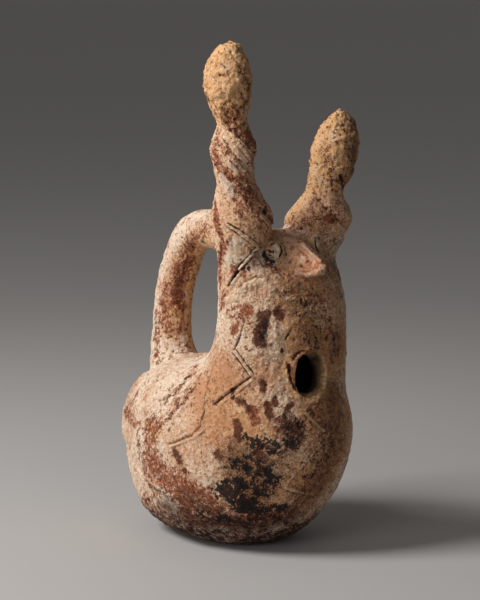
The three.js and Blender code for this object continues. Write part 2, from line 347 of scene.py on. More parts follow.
@dataclass(frozen=True)
class HornTurn:
    """A line that winds round a horn from the upper left to the lower right of the view."""

    axis: tuple[Place, ...]  # points up the middle of the horn
    front: float  # the height at which the line faces the camera
    turns: float = 0.5  # how far it goes on to either side of the front

    def trace(self, skin: bpy.types.Object) -> np.ndarray:
        """Lays the line on the skin by looking at the axis from all round it.

        Args:
            skin: the object that the line lies on.

        Returns:
            The line's points in millimetres, one row each.
        """
        facing = math.atan2(-math.cos(math.radians(VIEW.azimuth)), math.sin(math.radians(VIEW.azimuth)))
        outside = 20.0
        steps = 24  # to a half turn
        count = round(self.turns * 2 * steps)
        points = []
        for k in range(-count, count + 1):
            share = k / steps
            z = self.front - share * HORN_HALF_TURN
            angle = facing + share * math.pi
            x = float(np.interp(z, [p[2] for p in self.axis], [p[0] for p in self.axis]))
            y = float(np.interp(z, [p[2] for p in self.axis], [p[1] for p in self.axis]))
            way = Vector((math.cos(angle), math.sin(angle), 0))
            start = (Vector((x, y, z)) + way * outside) * MM
            hit, place, _, _ = skin.ray_cast(start, -way, distance=outside * MM)
            if hit:
                points.append(tuple(place / MM))
        return np.array(points)


@dataclass(frozen=True)
class Ring:
    """A round line on the skin about a place, facing a direction."""

    centre: Place
    facing: Place
    radius: float
    start: float = 0.0  # degrees
    sweep: float = 360.0

    def trace(self, skin: bpy.types.Object) -> np.ndarray:
        """Lays the ring on the skin, a point every 15 degrees.

        Args:
            skin: the object that the line lies on.

        Returns:
            The line's points in millimetres, one row each.
        """
        facing = Vector(self.facing).normalized()
        across = facing.cross(Vector((0, 0, 1))).normalized()
        up = across.cross(facing)
        step = 15.0
        count = round(abs(self.sweep) / step)
        points = []
        for k in range(count + 1):
            angle = math.radians(self.start + self.sweep * k / count)
            way = across * math.cos(angle) + up * math.sin(angle)
            place = (Vector(self.centre) + way * self.radius) * MM
            _, place, _, _ = skin.closest_point_on_mesh(place)
            points.append(tuple(place / MM))
        return np.array(points)


@dataclass(frozen=True)
class Spot:
    """A single place, for what the photograph doesn't show."""

    at: Place

    def trace(self, skin: bpy.types.Object) -> np.ndarray:
        """Gives the nearest place on the skin."""
        _, place, _, _ = skin.closest_point_on_mesh(Vector(self.at) * MM)
        return np.array([tuple(place / MM)])


Line = SeenLine | HornTurn | Ring | Spot


@dataclass(frozen=True)
class Stroke:
    """A line worked into the clay. Lengths are millimetres."""

    line: Line
    half_width: float
    depth: float  # how deep it is cut, or where it is negative how high it stands
    grime: float = 0.0  # how dark the cut is painted: earth left in it, and painted shade in some cuts


@dataclass(frozen=True)
class Stain:
    """A patch or streak of one layer."""

    layer: Layer
    line: Line
    reach: float  # how far it spreads to each side, in millimetres
    strength: float = 1.0


TALL_AXIS = ((-18.6, -22.0, 118.0), (-19.5, -23.0, 133.5), (-22.0, -23.0, 146.0), (-24.4, -23.0, 162.0),
             (-25.2, -23.0, 171.5), (-26.4, -23.0, 178.5))
SHORT_AXIS = ((18.0, -22.0, 116.0), (20.6, -23.0, 131.0), (23.7, -23.0, 142.5), (29.5, -23.0, 158.0))
HORN_AXES = {"right_horn": TALL_AXIS, "left_horn": SHORT_AXIS}
HORN_HALF_TURN = 27.0  # the height in which the horns turn half round
DRAWN = "drawn"  # the attribute that holds places measured along the marks of the potter's hand
LINES_APART = 2.2  # from the middle of a double line to each of its cuts, in pixels
DOUBLE_CUT = (0.62, 0.65, 0.86)  # half its width and its depth in millimetres, and how dark it is painted
FILLET = (0.7, 0.5)  # half the width and the height of the pale paste between two cuts, in millimetres; its paleness is partly a painted highlight
BURNT_SLIP, BURNT_SMOKE = 0.9, 0.95  # how strongly they lie on a burnt spot
EYE_AT = (11.0, -32.4, 121.5)
EYE_FACING = (0.45, -1.0, 0.35)
HOLE_WAY = (0.0, -1.0, 0.0)
HOLE_LEAN = -12.0  # the degrees that the oval of the hole leans
TALL_CRUST_LOST = (166.0, 176.0)  # the heights between which each horn loses its crust
SHORT_CRUST_LOST = (136.0, 147.0)
PLUG_SIDES = 72  # enough for a smooth oval


def seen(*pixels: Pixel) -> SeenLine:
    """Names a line by the pixels that it passes through."""
    return SeenLine(pixels)


def cut_line(half_width: float, depth: float, grime: float, *pixels: Pixel) -> Stroke:
    """Makes a line cut into the clay."""
    return Stroke(seen(*pixels), half_width, depth, grime)


def raised_line(half_width: float, height: float, *pixels: Pixel) -> Stroke:
    """Makes a line that stands up from the clay, its crest painted pale, partly as a highlight."""
    return Stroke(seen(*pixels), half_width, -height)


def both_sides(stroke: Stroke) -> tuple[Stroke, Stroke]:
    """Repeats a stroke on the side of the pot that the photograph doesn't show."""
    other = SeenLine(stroke.line.pixels, mirrored=True)
    return stroke, Stroke(other, stroke.half_width, stroke.depth, stroke.grime)


def double_line(*pixels: Pixel) -> tuple[Stroke, ...]:
    """Makes two dark cuts side by side, with a raised pale fillet standing between them, its paleness partly
    a painted highlight.

    Args:
        pixels: the pixels that the fillet passes through.

    Returns:
        The cuts and the fillet.
    """
    (u0, v0), (u1, v1) = pixels[0], pixels[-1]
    share = LINES_APART / math.hypot(u1 - u0, v1 - v0)
    across = ((v0 - v1) * share, (u1 - u0) * share)
    cuts = (cut_line(*DOUBLE_CUT, *((u + side * across[0], v + side * across[1]) for u, v in pixels))
            for side in (-1, 1))
    return (*cuts, raised_line(*FILLET, *pixels))


def stain_at(layer: Layer, reach: float, strength: float, *pixels: Pixel) -> Stain:
    """Makes a patch or streak of one layer."""
    return Stain(layer, seen(*pixels), reach, strength)


slip_at = partial(stain_at, Layer.SLIP)
smoke_and_shade_at = partial(stain_at, Layer.SMOKE)
soot_at = partial(stain_at, Layer.SOOT)
core_at = partial(stain_at, Layer.CORE)
chalk_and_highlight_at = partial(stain_at, Layer.CHALK_AND_HIGHLIGHT)
blush_at = partial(stain_at, Layer.BLUSH)
earth_and_shade_at = partial(stain_at, Layer.EARTH_AND_SHADE)
inside_at = partial(stain_at, Layer.INSIDE)


def burnt_spot(reach: float, *pixels: Pixel) -> tuple[Stain, Stain]:
    """Makes a spot of slip that the fire has turned dark brown."""
    return slip_at(reach, BURNT_SLIP, *pixels), smoke_and_shade_at(reach, BURNT_SMOKE, *pixels)


def eye_strokes(side: int) -> tuple[Stroke, ...]:
    """Marks the shallow side of the ring stamped in one eye, and raises its middle and its rim, which are
    painted pale as highlights.

    Args:
        side: -1 for the animal's right eye and 1 for its left.

    Returns:
        Its strokes.
    """
    centre = (side * EYE_AT[0], EYE_AT[1], EYE_AT[2])
    facing = (side * EYE_FACING[0], EYE_FACING[1], EYE_FACING[2])
    return (
        Stroke(Ring(centre, facing, 2.9, -100.0, 160.0), 0.5, 0.5, 0.35),
        Stroke(Ring(centre, facing, 1.6), 0.8, -0.5),
        Stroke(Ring(centre, facing, 3.5), 0.5, -0.4),
    )


# The upper zigzag, beside the face, ends in a gash that goes deep into the wall.
UPPER_ZIGZAG = (
    *double_line((226, 225), (240, 233), (258, 246)),
    *double_line((258, 248), (238, 270)),
    cut_line(1.0, 2.8, 1.6, (237, 271), (227, 286)),
    raised_line(0.8, 0.6, (241, 272), (230, 287)),
)

# The lower zigzag, beside the hole.
LOWER_ZIGZAG = (
    cut_line(0.7, 0.8, 0.72, (244, 321), (240, 335), (233, 351)),
    *double_line((234, 352), (252, 376)),
    *both_sides(cut_line(0.9, 1.1, 0.8, (251, 377), (232, 390), (213, 404))),
    *both_sides(raised_line(0.6, 0.4, (253, 380), (235, 394), (216, 407))),
)

# The worn line on the belly, and a raised one near its foot.
BELLY_LINES = (
    cut_line(0.8, 0.8, 0.58, (204, 397), (202, 415), (199, 427), (190, 436), (180, 440), (168, 445)),
    raised_line(0.6, 0.5, (204, 430), (192, 439), (181, 443.5), (168, 448)),
    raised_line(0.5, 0.4, (206, 398), (204.5, 414), (202, 424)),
    raised_line(0.7, 0.7, (131, 464), (142, 477), (158, 489)),
    cut_line(0.6, 0.5, 0.3, (133, 472), (143, 481), (157, 492)),
    raised_line(0.8, 0.5, (286, 486), (293, 477), (299, 469)),
    raised_line(0.9, 0.6, (286, 488), (304, 494)),
    cut_line(0.7, 0.5, 0.5, (287, 490.5), (304, 497)),
    raised_line(0.7, 0.4, (306, 414), (325, 431)),
    raised_line(0.7, 0.35, (300, 470), (322, 446)),
    cut_line(0.8, 0.5, 0.35, (331, 398), (320, 404), (309, 404)),
)

# Folds of the clay below the face, and the marks of drawing it up the sides.
FOLDS_AND_MARKS = (
    # A soft cut above the fold, painted dark as the fold's shadow; the fold below is painted pale as a
    # highlight.
    cut_line(1.0, 0.6, 0.3, (240, 287), (246, 282), (256, 277), (265, 278), (274, 282)),
    raised_line(2.2, 0.5, (237, 293), (246, 287), (256, 282), (264, 283.5), (273, 288)),
    raised_line(2.0, 0.6, (226, 300), (238, 297), (250, 301)),
    cut_line(1.6, 0.6, 0.2, (283, 296), (295, 292), (306, 296)),
    cut_line(0.9, 0.7, 0.5, (214, 207), (215.5, 226), (221, 240), (219, 262), (219.5, 284)),
    cut_line(1.1, 0.8, 0.5, (192, 369), (180, 386), (163, 402)),
    cut_line(1.0, 0.8, 0.5, (196, 384), (186, 398), (176, 408), (166, 420)),
    cut_line(0.9, 0.7, 0.52, (204, 366), (198, 377), (194, 394)),
    raised_line(1.0, 0.5, (197, 372), (186, 388), (170, 404)),
    raised_line(1.0, 0.45, (192, 398), (180, 410), (169, 424)),
    cut_line(0.8, 0.6, 0.5, (186, 376), (172, 391), (158, 402)),
    cut_line(0.8, 0.6, 0.52, (212, 368), (207, 384), (205, 396)),
    cut_line(0.7, 0.7, 0.75, (292, 329), (287, 339)),
    cut_line(0.8, 0.7, 0.6, (302, 293), (303, 303)),
)

# The joint between the ring of the hole and the wall, open at its lower left, a painted shadow under its
# upper lip, its raised rim painted pale as a highlight, and a crack behind it.
HOLE_EDGES = (
    # The open joint at the lower left: a dark joint, darkened further as painted shade in its groove.
    cut_line(1.0, 0.9, 0.9, (289.5, 366), (291, 381), (297, 391), (303, 396)),
    # Painted shadow under the hole's upper lip.
    cut_line(1.0, 0.6, 0.7, (294, 359), (298, 353), (304, 350.5), (311, 353)),
    # The raised rim, painted pale as a highlight.
    raised_line(0.9, 0.6, (323, 357), (327, 369), (326, 382), (320, 392), (311, 396.5)),
    cut_line(0.7, 0.9, 0.9, (312, 349.5), (317, 352)),
    cut_line(0.8, 0.8, 0.9, (341, 370), (345, 379), (347, 388)),
)

# The muzzle's mouth, lip and bridge, the pit beside the eye, and the deep side of the ring stamped in it,
# painted dark as its shadow.
FACE_LINES = (
    cut_line(0.8, 0.5, 0.4, (296, 267), (308, 269.5)),
    raised_line(1.5, 0.45, (297, 273), (308, 275), (319, 272)),
    raised_line(1.1, 0.7, (303, 244), (312, 252), (321, 261)),
    cut_line(1.2, 0.5, 0.2, (300, 249), (308, 256), (316, 264)),
    cut_line(1.1, 1.4, 1.3, (270.5, 250.5), (273, 251.3)),
    # Painted shadow along the deep side of each eye's ring.
    *both_sides(cut_line(0.6, 0.7, 1.3, (271.8, 243.6), (277, 242), (281.2, 244.7), (283.3, 248.8),
                         (282.7, 253), (280.4, 256.4))),
)

# The twist of the horns, and the finer lines that wind with it.
HORN_TWIST = (
    Stroke(HornTurn(TALL_AXIS, 146.0), 1.4, 1.0, 0.36),
    Stroke(HornTurn(TALL_AXIS, 171.5, turns=0.35), 1.3, 0.8, 0.34),
    Stroke(HornTurn(TALL_AXIS, 126.0, turns=0.3), 1.5, 0.9, 0.25),
    *(Stroke(HornTurn(TALL_AXIS, front, turns=0.3), width, 0.55, 0.4)
      for front, width in ((137.0, 0.5), (141.0, 0.6), (150.0, 0.5), (153.0, 0.5), (156.5, 0.65),
                           (161.0, 0.5), (165.5, 0.55))),
    Stroke(HornTurn(SHORT_AXIS, 138.0, turns=0.4), 1.4, 0.7, 0.3),
    cut_line(1.0, 1.3, 0.7, (343.5, 176), (346.5, 186), (347, 198)),
)

STROKES: tuple[Stroke, ...] = (*UPPER_ZIGZAG, *LOWER_ZIGZAG, *BELLY_LINES, *FOLDS_AND_MARKS, *HOLE_EDGES,
                               *FACE_LINES, *HORN_TWIST, *eye_strokes(-1), *eye_strokes(1))

# The tall horn, with smoke down its right side and its tip as painted shade away from the lamp.
TALL_HORN_STAINS = (
    slip_at(5.2, 0.72, (229, 111), (236, 121), (246, 135), (252, 144)),
    smoke_and_shade_at(3.6, 0.6, (240, 126), (251, 142)),
    slip_at(2.4, 0.5, (214, 137), (222, 146), (231, 157), (241, 167)),
    Stain(Layer.SLIP, HornTurn(TALL_AXIS, 151.5, turns=0.3), 2.6, 0.34),
    Stain(Layer.SLIP, HornTurn(TALL_AXIS, 158.0, turns=0.3), 2.6, 0.36),
    slip_at(3.6, 0.72, (212, 148), (215, 163), (228, 176), (240, 183), (252, 192)),
    slip_at(5.2, 0.76, (239, 182), (250, 194)),
    slip_at(3.4, 0.52, (234, 188), (241, 214)),
    smoke_and_shade_at(4.2, 0.7, (244, 186), (255, 199)),
    soot_at(1.8, 0.8, (266, 207), (267, 213)),
    slip_at(4.0, 0.52, (254, 203), (262, 226)),
    chalk_and_highlight_at(3.2, 0.85, (221, 176), (229, 192)),
    Stain(Layer.SLIP, HornTurn(TALL_AXIS, 146.0), 3.6, 0.52),
    Stain(Layer.SLIP, HornTurn(TALL_AXIS, 171.5, turns=0.35), 3.6, 0.5),
    smoke_and_shade_at(2.6, 0.6, (253, 140), (254, 165)),
    # The tip's right side: red-brown slip, and smoke as painted shade.
    slip_at(3.4, 0.46, (242, 72), (248, 90), (243, 106)),
    smoke_and_shade_at(3.0, 0.6, (244, 74), (249, 92), (245, 104)),
    blush_at(3.0, 0.5, (225, 78), (232, 62)),
)

# The short horn, with smoke on its right side and at its root as painted shade away from the lamp.
SHORT_HORN_STAINS = (
    smoke_and_shade_at(8.0, 0.85, (353, 120), (356, 142), (355, 165), (350, 184)),
    slip_at(3.6, 0.5, (327, 150), (332, 172), (339, 193)),
    slip_at(9.0, 0.36, (318, 200), (330, 212), (343, 205)),
    smoke_and_shade_at(8.0, 0.4, (324, 208), (334, 218), (343, 210)),
    slip_at(2.6, 0.7, (343.5, 178), (347, 196)),
    core_at(5.4, 0.85, (311, 190), (300, 203), (291, 216)),
)

# The side of the neck and the face, with painted shade under the eye and down the face's right side, and a
# painted highlight on the eye's disc.
FACE_STAINS = (
    slip_at(2.8, 0.82, (214, 205), (215.5, 226), (222, 242), (219, 262), (219.5, 285)),
    slip_at(3.4, 0.7, (223, 296), (221, 307)),
    chalk_and_highlight_at(4.6, 0.62, (238, 240), (233, 250), (229, 260)),
    soot_at(1.8, 0.6, (231, 259), (232, 262)),
    slip_at(2.2, 0.7, (232, 268), (234, 274)),
    soot_at(3.0, 0.6, (265, 254), (269, 258), (274, 260)),
    # Painted shade under the eye.
    smoke_and_shade_at(4.5, 0.6, (260, 252), (266, 262), (274, 267)),
    slip_at(2.0, 0.8, (270, 266), (276, 270)),
    soot_at(1.2, 0.85, (249, 268), (249, 269)),
    slip_at(2.2, 0.85, (243, 274)),
    slip_at(1.9, 0.85, (226.5, 243)),
    slip_at(7.0, 0.5, (296, 222), (309, 219)),
    slip_at(3.2, 0.9, (328, 219), (337, 218)),
    # Painted shade over the face's right side.
    smoke_and_shade_at(9.0, 0.45, (280, 225), (320, 230), (338, 250)),
    blush_at(6.4, 0.9, (300, 248), (310, 256), (320, 264)),
    blush_at(4.2, 0.86, (298, 272), (312, 275)),
    blush_at(4.4, 0.66, (290, 238), (304, 242)),
    chalk_and_highlight_at(1.8, 0.5, (300, 268), (304, 258)),
    # Painted highlight on the raised disc of the eye.
    chalk_and_highlight_at(2.4, 1.0, (277, 247), (278.5, 251), (276.5, 254)),
    slip_at(1.8, 0.72, (295, 274), (308, 277.5), (317, 276)),
    # Painted shade below the muzzle and down the face's right side.
    smoke_and_shade_at(6.0, 0.6, (318, 275), (338, 262), (341, 292)),
)

# The middle of the neck and the hole, with the neck's right side darkened as painted shade.
NECK_STAINS = (
    *burnt_spot(2.9, (278.5, 311), (280, 315)),
    *burnt_spot(1.8, (267, 312), (268, 315)),
    slip_at(3.6, 0.95, (263, 318), (262.5, 327), (258, 333), (260, 342)),
    smoke_and_shade_at(4.0, 1.2, (263, 318), (260, 342)),
    soot_at(2.4, 0.72, (264, 324), (261, 340)),
    slip_at(6.4, 0.5, (233, 312), (240, 318)),
    slip_at(2.6, 0.95, (243, 310), (250, 311)),
    slip_at(3.0, 0.8, (236, 324), (233, 332)),
    # The neck's right side, away from the lamp: painted shade, over dark mottles of slip and soot.
    smoke_and_shade_at(11.0, 0.62, (300, 300), (318, 335), (336, 345)),
    soot_at(9.5, 0.32, (304, 318), (318, 335), (336, 345)),
    slip_at(9.0, 0.38, (318, 300), (334, 330), (338, 350)),
    soot_at(1.3, 0.9, (282, 351)),
    core_at(3.0, 0.95, (326, 376), (323, 388), (317, 396), (308, 399)),
    # Painted shade deep in the hole, along its inner wall.
    inside_at(3.9, 2.0, (315, 359), (315.5, 372), (314, 385)),
    inside_at(1.4, 1.0, (311, 391), (304, 393)),
    core_at(2.6, 0.9, (288, 358), (286, 370), (289, 384), (296, 395)),
    # The open joint's groove at the hole's lower left: a dark joint, darkened further as painted shade.
    slip_at(1.5, 1.0, (290, 366), (291.5, 380), (297.5, 391)),
)

# Spots over the belly.
BELLY_SPOTS = (
    *burnt_spot(1.8, (231, 392), (232, 397)),
    *burnt_spot(2.3, (238, 400), (243, 403)),
    *burnt_spot(1.9, (248, 408), (250, 411)),
    *burnt_spot(2.0, (262, 382), (263, 390)),
    *burnt_spot(1.9, (275, 399), (275, 404)),
    slip_at(3.0, 1.05, (252, 411), (255, 421)),
    *burnt_spot(2.4, (268, 407), (270, 417)),
    *burnt_spot(1.9, (287, 410), (292, 404)),
    *burnt_spot(1.9, (310, 411), (314, 415)),
    *burnt_spot(2.5, (237, 423), (238, 430)),
    *burnt_spot(2.2, (237, 436), (240, 440)),
    *burnt_spot(2.7, (216, 454), (219, 458)),
    *burnt_spot(1.7, (228.5, 449)),
    *burnt_spot(2.7, (174, 452), (178, 461)),
    *burnt_spot(1.9, (183, 471)),
    core_at(9.0, 0.5, (240, 412), (262, 430), (246, 452)),
)

# The burnt patch, the dark foot, and the belly's right side, darkened also as painted shade.
BURNT_PATCH = (
    slip_at(6.0, 0.8, (284, 424), (298, 430), (292, 444)),
    smoke_and_shade_at(7.0, 0.9, (284, 424), (298, 430), (290, 446)),
    soot_at(4.8, 0.52, (285, 424), (298, 427), (290, 444)),
    soot_at(4.4, 0.8, (262, 444), (273, 449)),
    soot_at(3.0, 0.68, (246, 439), (256, 446)),
    slip_at(2.6, 1.1, (258, 446), (259, 457)),
    soot_at(3.6, 0.58, (229, 466), (243, 460)),
    smoke_and_shade_at(14.0, 0.85, (240, 462), (262, 474), (250, 500)),
    soot_at(8.5, 0.64, (246, 466), (262, 474), (268, 486)),
    soot_at(8.0, 0.86, (224, 492), (238, 499), (254, 511)),
    soot_at(7.0, 0.68, (240, 486), (258, 490)),
    soot_at(4.6, 0.62, (268, 507), (284, 511)),
    # Along the foot: slip and soot, and painted shade under the belly.
    slip_at(10.0, 0.86, (190, 520), (240, 522), (284, 515)),
    smoke_and_shade_at(12.0, 1.0, (170, 512), (205, 526), (250, 529), (290, 520)),
    soot_at(6.0, 0.62, (205, 518), (245, 522), (276, 518)),
    # The belly's right side, away from the lamp: painted shade, with some slip and soot.
    slip_at(14.0, 0.42, (322, 420), (330, 445), (318, 470), (300, 500)),
    smoke_and_shade_at(14.0, 0.75, (334, 400), (336, 440), (322, 480), (296, 514)),
    soot_at(10.0, 0.26, (312, 470), (330, 440)),
)

# The reddened lower left and the drawing marks above it.
RED_SIDE = (
    slip_at(10.0, 0.76, (150, 430), (148, 446), (150, 462), (162, 478), (178, 494), (192, 512)),
    slip_at(10.0, 0.82, (180, 486), (202, 500), (214, 518)),
    # Painted shade under the belly, darker towards the bottom.
    smoke_and_shade_at(10.0, 0.75, (190, 504), (206, 512), (216, 521)),
    slip_at(3.0, 0.52, (196, 366), (182, 384), (163, 403)),
    slip_at(4.4, 0.5, (187, 394), (174, 405), (160, 419), (148, 432)),
    core_at(4.6, 0.7, (146, 430), (157, 434)),
    core_at(6.0, 0.45, (172, 404), (158, 422)),
    slip_at(4.2, 0.6, (134, 396), (126, 412), (136, 426)),
    slip_at(6.0, 0.6, (144, 500), (160, 514)),
    soot_at(2.6, 0.5, (148, 484), (158, 496)),
    slip_at(5.0, 0.62, (136, 442), (142, 468), (154, 492)),
)

# The handle.
HANDLE_STAINS = (
    # Tan down the handle's front, away from its lit left edge: partly painted shade.
    earth_and_shade_at(9.0, 0.85, (205, 230), (190, 250), (178, 280), (173, 308), (170, 328)),
    slip_at(5.0, 0.6, (205, 229), (196, 238), (186, 256)),
    slip_at(6.0, 0.72, (187, 260), (179, 276), (174, 292), (177, 305)),
    smoke_and_shade_at(4.0, 0.6, (184, 264), (178, 280), (177, 300)),
    slip_at(4.2, 0.62, (166, 284), (164, 304), (163, 320), (168, 328), (176, 328)),
    slip_at(3.4, 0.62, (155, 314), (156, 348), (158, 362)),
    core_at(4.6, 0.95, (206, 240), (194, 262), (189, 300), (190, 335), (197, 352)),
    core_at(3.8, 0.85, (173, 308), (174, 324)),
    slip_at(3.0, 0.5, (185, 328), (187, 345)),
)

# Tan laid over the front, the right side, the face and the lower left: the clay's tone, and partly painted
# shade on surfaces turned away from the lamp.
EARTH_AND_SHADE_ON_FRONT = (
    earth_and_shade_at(26.0, 0.6, (238, 296), (250, 330), (262, 372)),
    earth_and_shade_at(28.0, 0.78, (225, 400), (250, 440), (250, 480)),
    earth_and_shade_at(30.0, 0.9, (312, 300), (326, 350), (326, 430), (300, 490)),
    earth_and_shade_at(18.0, 0.62, (252, 232), (300, 232), (330, 262)),
    earth_and_shade_at(24.0, 0.5, (150, 440), (180, 470)),
)

# The sides that the photograph doesn't show, much as the one that it does.
FAR_SIDES = (
    # Tan over the side away from the lamp: the clay's tone, and partly painted shade.
    Stain(Layer.EARTH_AND_SHADE, Spot((34.0, 0.0, 60.0)), 60.0, 0.7),
    Stain(Layer.SOOT, Spot((30.0, 26.0, 30.0)), 19.0, 0.55),
    Stain(Layer.SLIP, Spot((34.0, 4.0, 52.0)), 17.0, 0.6),
    Stain(Layer.SLIP, Spot((14.0, 56.0, 26.0)), 20.0, 0.7),
    Stain(Layer.SLIP, Spot((22.0, -6.0, 92.0)), 15.0, 0.64),
    Stain(Layer.SOOT, Spot((8.0, -2.0, 96.0)), 10.0, 0.5),
    Stain(Layer.CHALK_AND_HIGHLIGHT, Spot((26.0, -8.0, 108.0)), 11.0, 0.75),
    Stain(Layer.SLIP, Spot((7.0, 38.0, 112.0)), 12.0, 0.62),
    Stain(Layer.CORE, Spot((-2.0, 50.0, 96.0)), 12.0, 0.55),
    Stain(Layer.SLIP, Spot((24.0, -18.0, 140.0)), 11.0, 0.7),
    # Painted shade on the side away from the lamp.
    Stain(Layer.SMOKE, Spot((28.0, -8.0, 60.0)), 22.0, 0.6),
)

STAINS: tuple[Stain, ...] = (*TALL_HORN_STAINS, *SHORT_HORN_STAINS, *FACE_STAINS, *NECK_STAINS, *BELLY_SPOTS,
                             *BURNT_PATCH, *RED_SIDE, *HANDLE_STAINS, *EARTH_AND_SHADE_ON_FRONT, *FAR_SIDES)


@dataclass(frozen=True)
class Grain:
    """One size of unevenness in the clay. Lengths are millimetres."""

    name: str
    size: float
    height: float
    where: str = ""  # the vertex group that it is kept to
    crisp: bool = False  # patches with an edge, in place of soft lumps
    depth: int = 2


@dataclass
class ClaySkin:
    """The whole pot as one skin of clay, before it is cut at its joints. Lengths are millimetres."""

    voxel: float = 0.58
    quick_voxel: float = 0.9
    slip_film: float = 0.22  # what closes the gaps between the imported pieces, half from each side
    rounds: int = 26  # how often the wet joints are smoothed
    softness: float = 0.35  # how much of that reaches the ring of the hole
    muzzle_softness: float = 0.8
    eye_softness: float = 0.08
    pit_count: int = 2000
    widest_pit: float = 1.05
    sandy_pits: float = 2.5  # how many times more of them where the crust is lost
    seed: int = 7
    weld: float = 0.002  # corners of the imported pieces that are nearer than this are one
    mouth_at: Place = (-4.4, -49.0, 74.0)  # the worn mouth of the hole
    mouth_size: Place = (9.9, 12.6, 14.0)  # half its width, half its height and its depth
    mouth_root: float = 0.63  # the width of its inner end, as a share of its outer one's
    applied_margin: float = 1.5  # how far round the applied pieces the skin is smoothed less
    flat_height: float = 1.0  # the flat that the pot stands on is lower than this
    flat_softness: float = 0.1
    wet_factor: float = 0.5
    narrowest_pit: float = 0.4
    pit_depth: float = 0.7  # as a share of half the pit's width
    fine_margin: float = 0.6  # how far beside a line its faces are halved
    rough_heights: Span = (0.5, 4.0)  # the clay gets rough between these heights
    handle_y: Span = (1.0, 7.0)  # the handle's even clay sets in between these places along y
    handle_z: Span = (74.0, 84.0)  # and between these heights
    handle_evenness: float = 0.75  # how much less uneven it is
    crisp_edge: Span = (0.49, 0.54)  # the noise's values at the edge of a crisp patch
    grains: tuple[Grain, ...] = (
        Grain("uneven_wall", 17.0, 1.7, where="walls"),
        Grain("finger_marks", 6.5, 0.9, where="walls"),
        Grain("crust_edges", 4.5, 0.2, crisp=True, depth=4),
        Grain("scabs", 2.4, 0.16, crisp=True, depth=3),
        Grain("grit", 1.6, 0.9, depth=3),
        Grain("sandy_lumps", 5.0, 2.4, where="sandy", depth=4),
        Grain("sandy_grit", 1.3, 1.6, where="sandy", depth=3),
    )
    skin: bpy.types.Object = field(init=False)
    strokes: list[tuple[Stroke, np.ndarray]] = field(init=False, default_factory=list)
    stains: list[tuple[Stain, np.ndarray]] = field(init=False, default_factory=list)
    pits: list[tuple[np.ndarray, float]] = field(init=False)

    def draw(self) -> None:
        """Makes the smooth skin and lays all lines on it."""
        self._draw_together()
        self._flare_hole()
        self._smooth_joints()
        self._trace_lines()
        self._refine_along_lines()

    def work(self) -> bpy.types.Object:
        """Presses the lines in and roughens the clay.

        Returns:
            The finished skin, one closed mesh with an outer and an inner side.
        """
        self._press_lines()
        self._roughen()
        self._fit_box()
        log.info("skin: %d faces", len(self.skin.data.polygons))
        return self.skin

    def _draw_together(self) -> None:
        """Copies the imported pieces, grows them until they touch and draws them into one mesh."""
        bpy.ops.object.select_all(action="DESELECT")
        for name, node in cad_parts.items():
            piece = bpy.data.objects.new(f"wet_{name}", node.data.copy())
            bpy.context.scene.collection.objects.link(piece)
            piece.select_set(True)
            bpy.context.view_layer.objects.active = piece
        bpy.ops.object.join()
        self.skin = bpy.context.view_layer.objects.active
        self.skin.name = "clay_skin"
        with editing(self.skin):
            bpy.ops.mesh.select_all(action="SELECT")
            bpy.ops.mesh.remove_doubles(threshold=self.weld * MM)
            bpy.ops.transform.shrink_fatten(value=self.slip_film * MM)
        remesh = self.skin.modifiers.new("draw_together", "REMESH")
        remesh.mode = "VOXEL"
        remesh.voxel_size = self.voxel * MM
        remesh.use_smooth_shade = True
        bpy.ops.object.modifier_apply(modifier=remesh.name)
        self.skin.data.materials.clear()

    def _flare_hole(self) -> None:
        """Widens the mouth of the hole, as wear has."""
        across, upright, depth = self.mouth_size
        mouth = plug("worn_mouth", self.mouth_at, HOLE_WAY, across, upright, HOLE_LEAN, depth,
                     root=self.mouth_root)
        cut_with(self.skin, mouth, Keep.BEYOND)
        bpy.data.objects.remove(mouth)

    def _smooth_joints(self) -> None:
        """Smooths the skin as a wet finger does, less round the small applied pieces."""
        points = vertex_places(self.skin)
        softness = np.ones(len(points))
        margin = self.applied_margin
        for name, share in (("spout_root", self.softness), ("muzzle", self.muzzle_softness),
                            ("right_eye", self.eye_softness), ("left_eye", self.eye_softness)):
            low, high = (np.array(corner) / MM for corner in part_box(name))
            inside = np.all((points > low - margin) & (points < high + margin), axis=1)
            softness[inside] = share
        softness[points[:, 2] < self.flat_height] = self.flat_softness
        self._weigh("soft", softness)
        select_only(self.skin)
        smooth = self.skin.modifiers.new("wet_finger", "SMOOTH")
        smooth.factor = self.wet_factor
        smooth.iterations = self.rounds
        smooth.vertex_group = "soft"
        bpy.ops.object.modifier_apply(modifier=smooth.name)

    def _trace_lines(self) -> None:
        """Lays all lines and stains on the smooth skin, before anything is pressed into it."""
        for stroke in STROKES:
            self.strokes.append((stroke, stroke.line.trace(self.skin)))
        for stain in STAINS:
            self.stains.append((stain, stain.line.trace(self.skin)))
        draw = np.random.default_rng(self.seed)
        points = vertex_places(self.skin)
        chances = 1 + self.sandy_pits * sandy_share(points)
        places = points[draw.choice(len(points), self.pit_count, p=chances / chances.sum())]
        self.pits = list(zip(places, draw.uniform(self.narrowest_pit, self.widest_pit, self.pit_count)))

    def _refine_along_lines(self) -> None:
        """Halves the faces beside the pressed lines, so that their edges are sharp."""
        mesh = self.skin.data
        flat = np.empty(len(mesh.polygons) * 3, np.float32)
        mesh.polygons.foreach_get("center", flat)
        centres = flat.reshape(-1, 3) / MM
        chosen = np.zeros(len(centres), bool)
        for stroke, line in self.strokes:
            reach = stroke.half_width + self.fine_margin
            near, gaps = distance_to(line, centres, reach)
            chosen[near[gaps < reach]] = True
        with editing(self.skin):
            bpy.ops.mesh.select_all(action="DESELECT")
        mesh.polygons.foreach_set("select", chosen)
        with editing(self.skin):
            bpy.ops.mesh.subdivide(number_cuts=1)

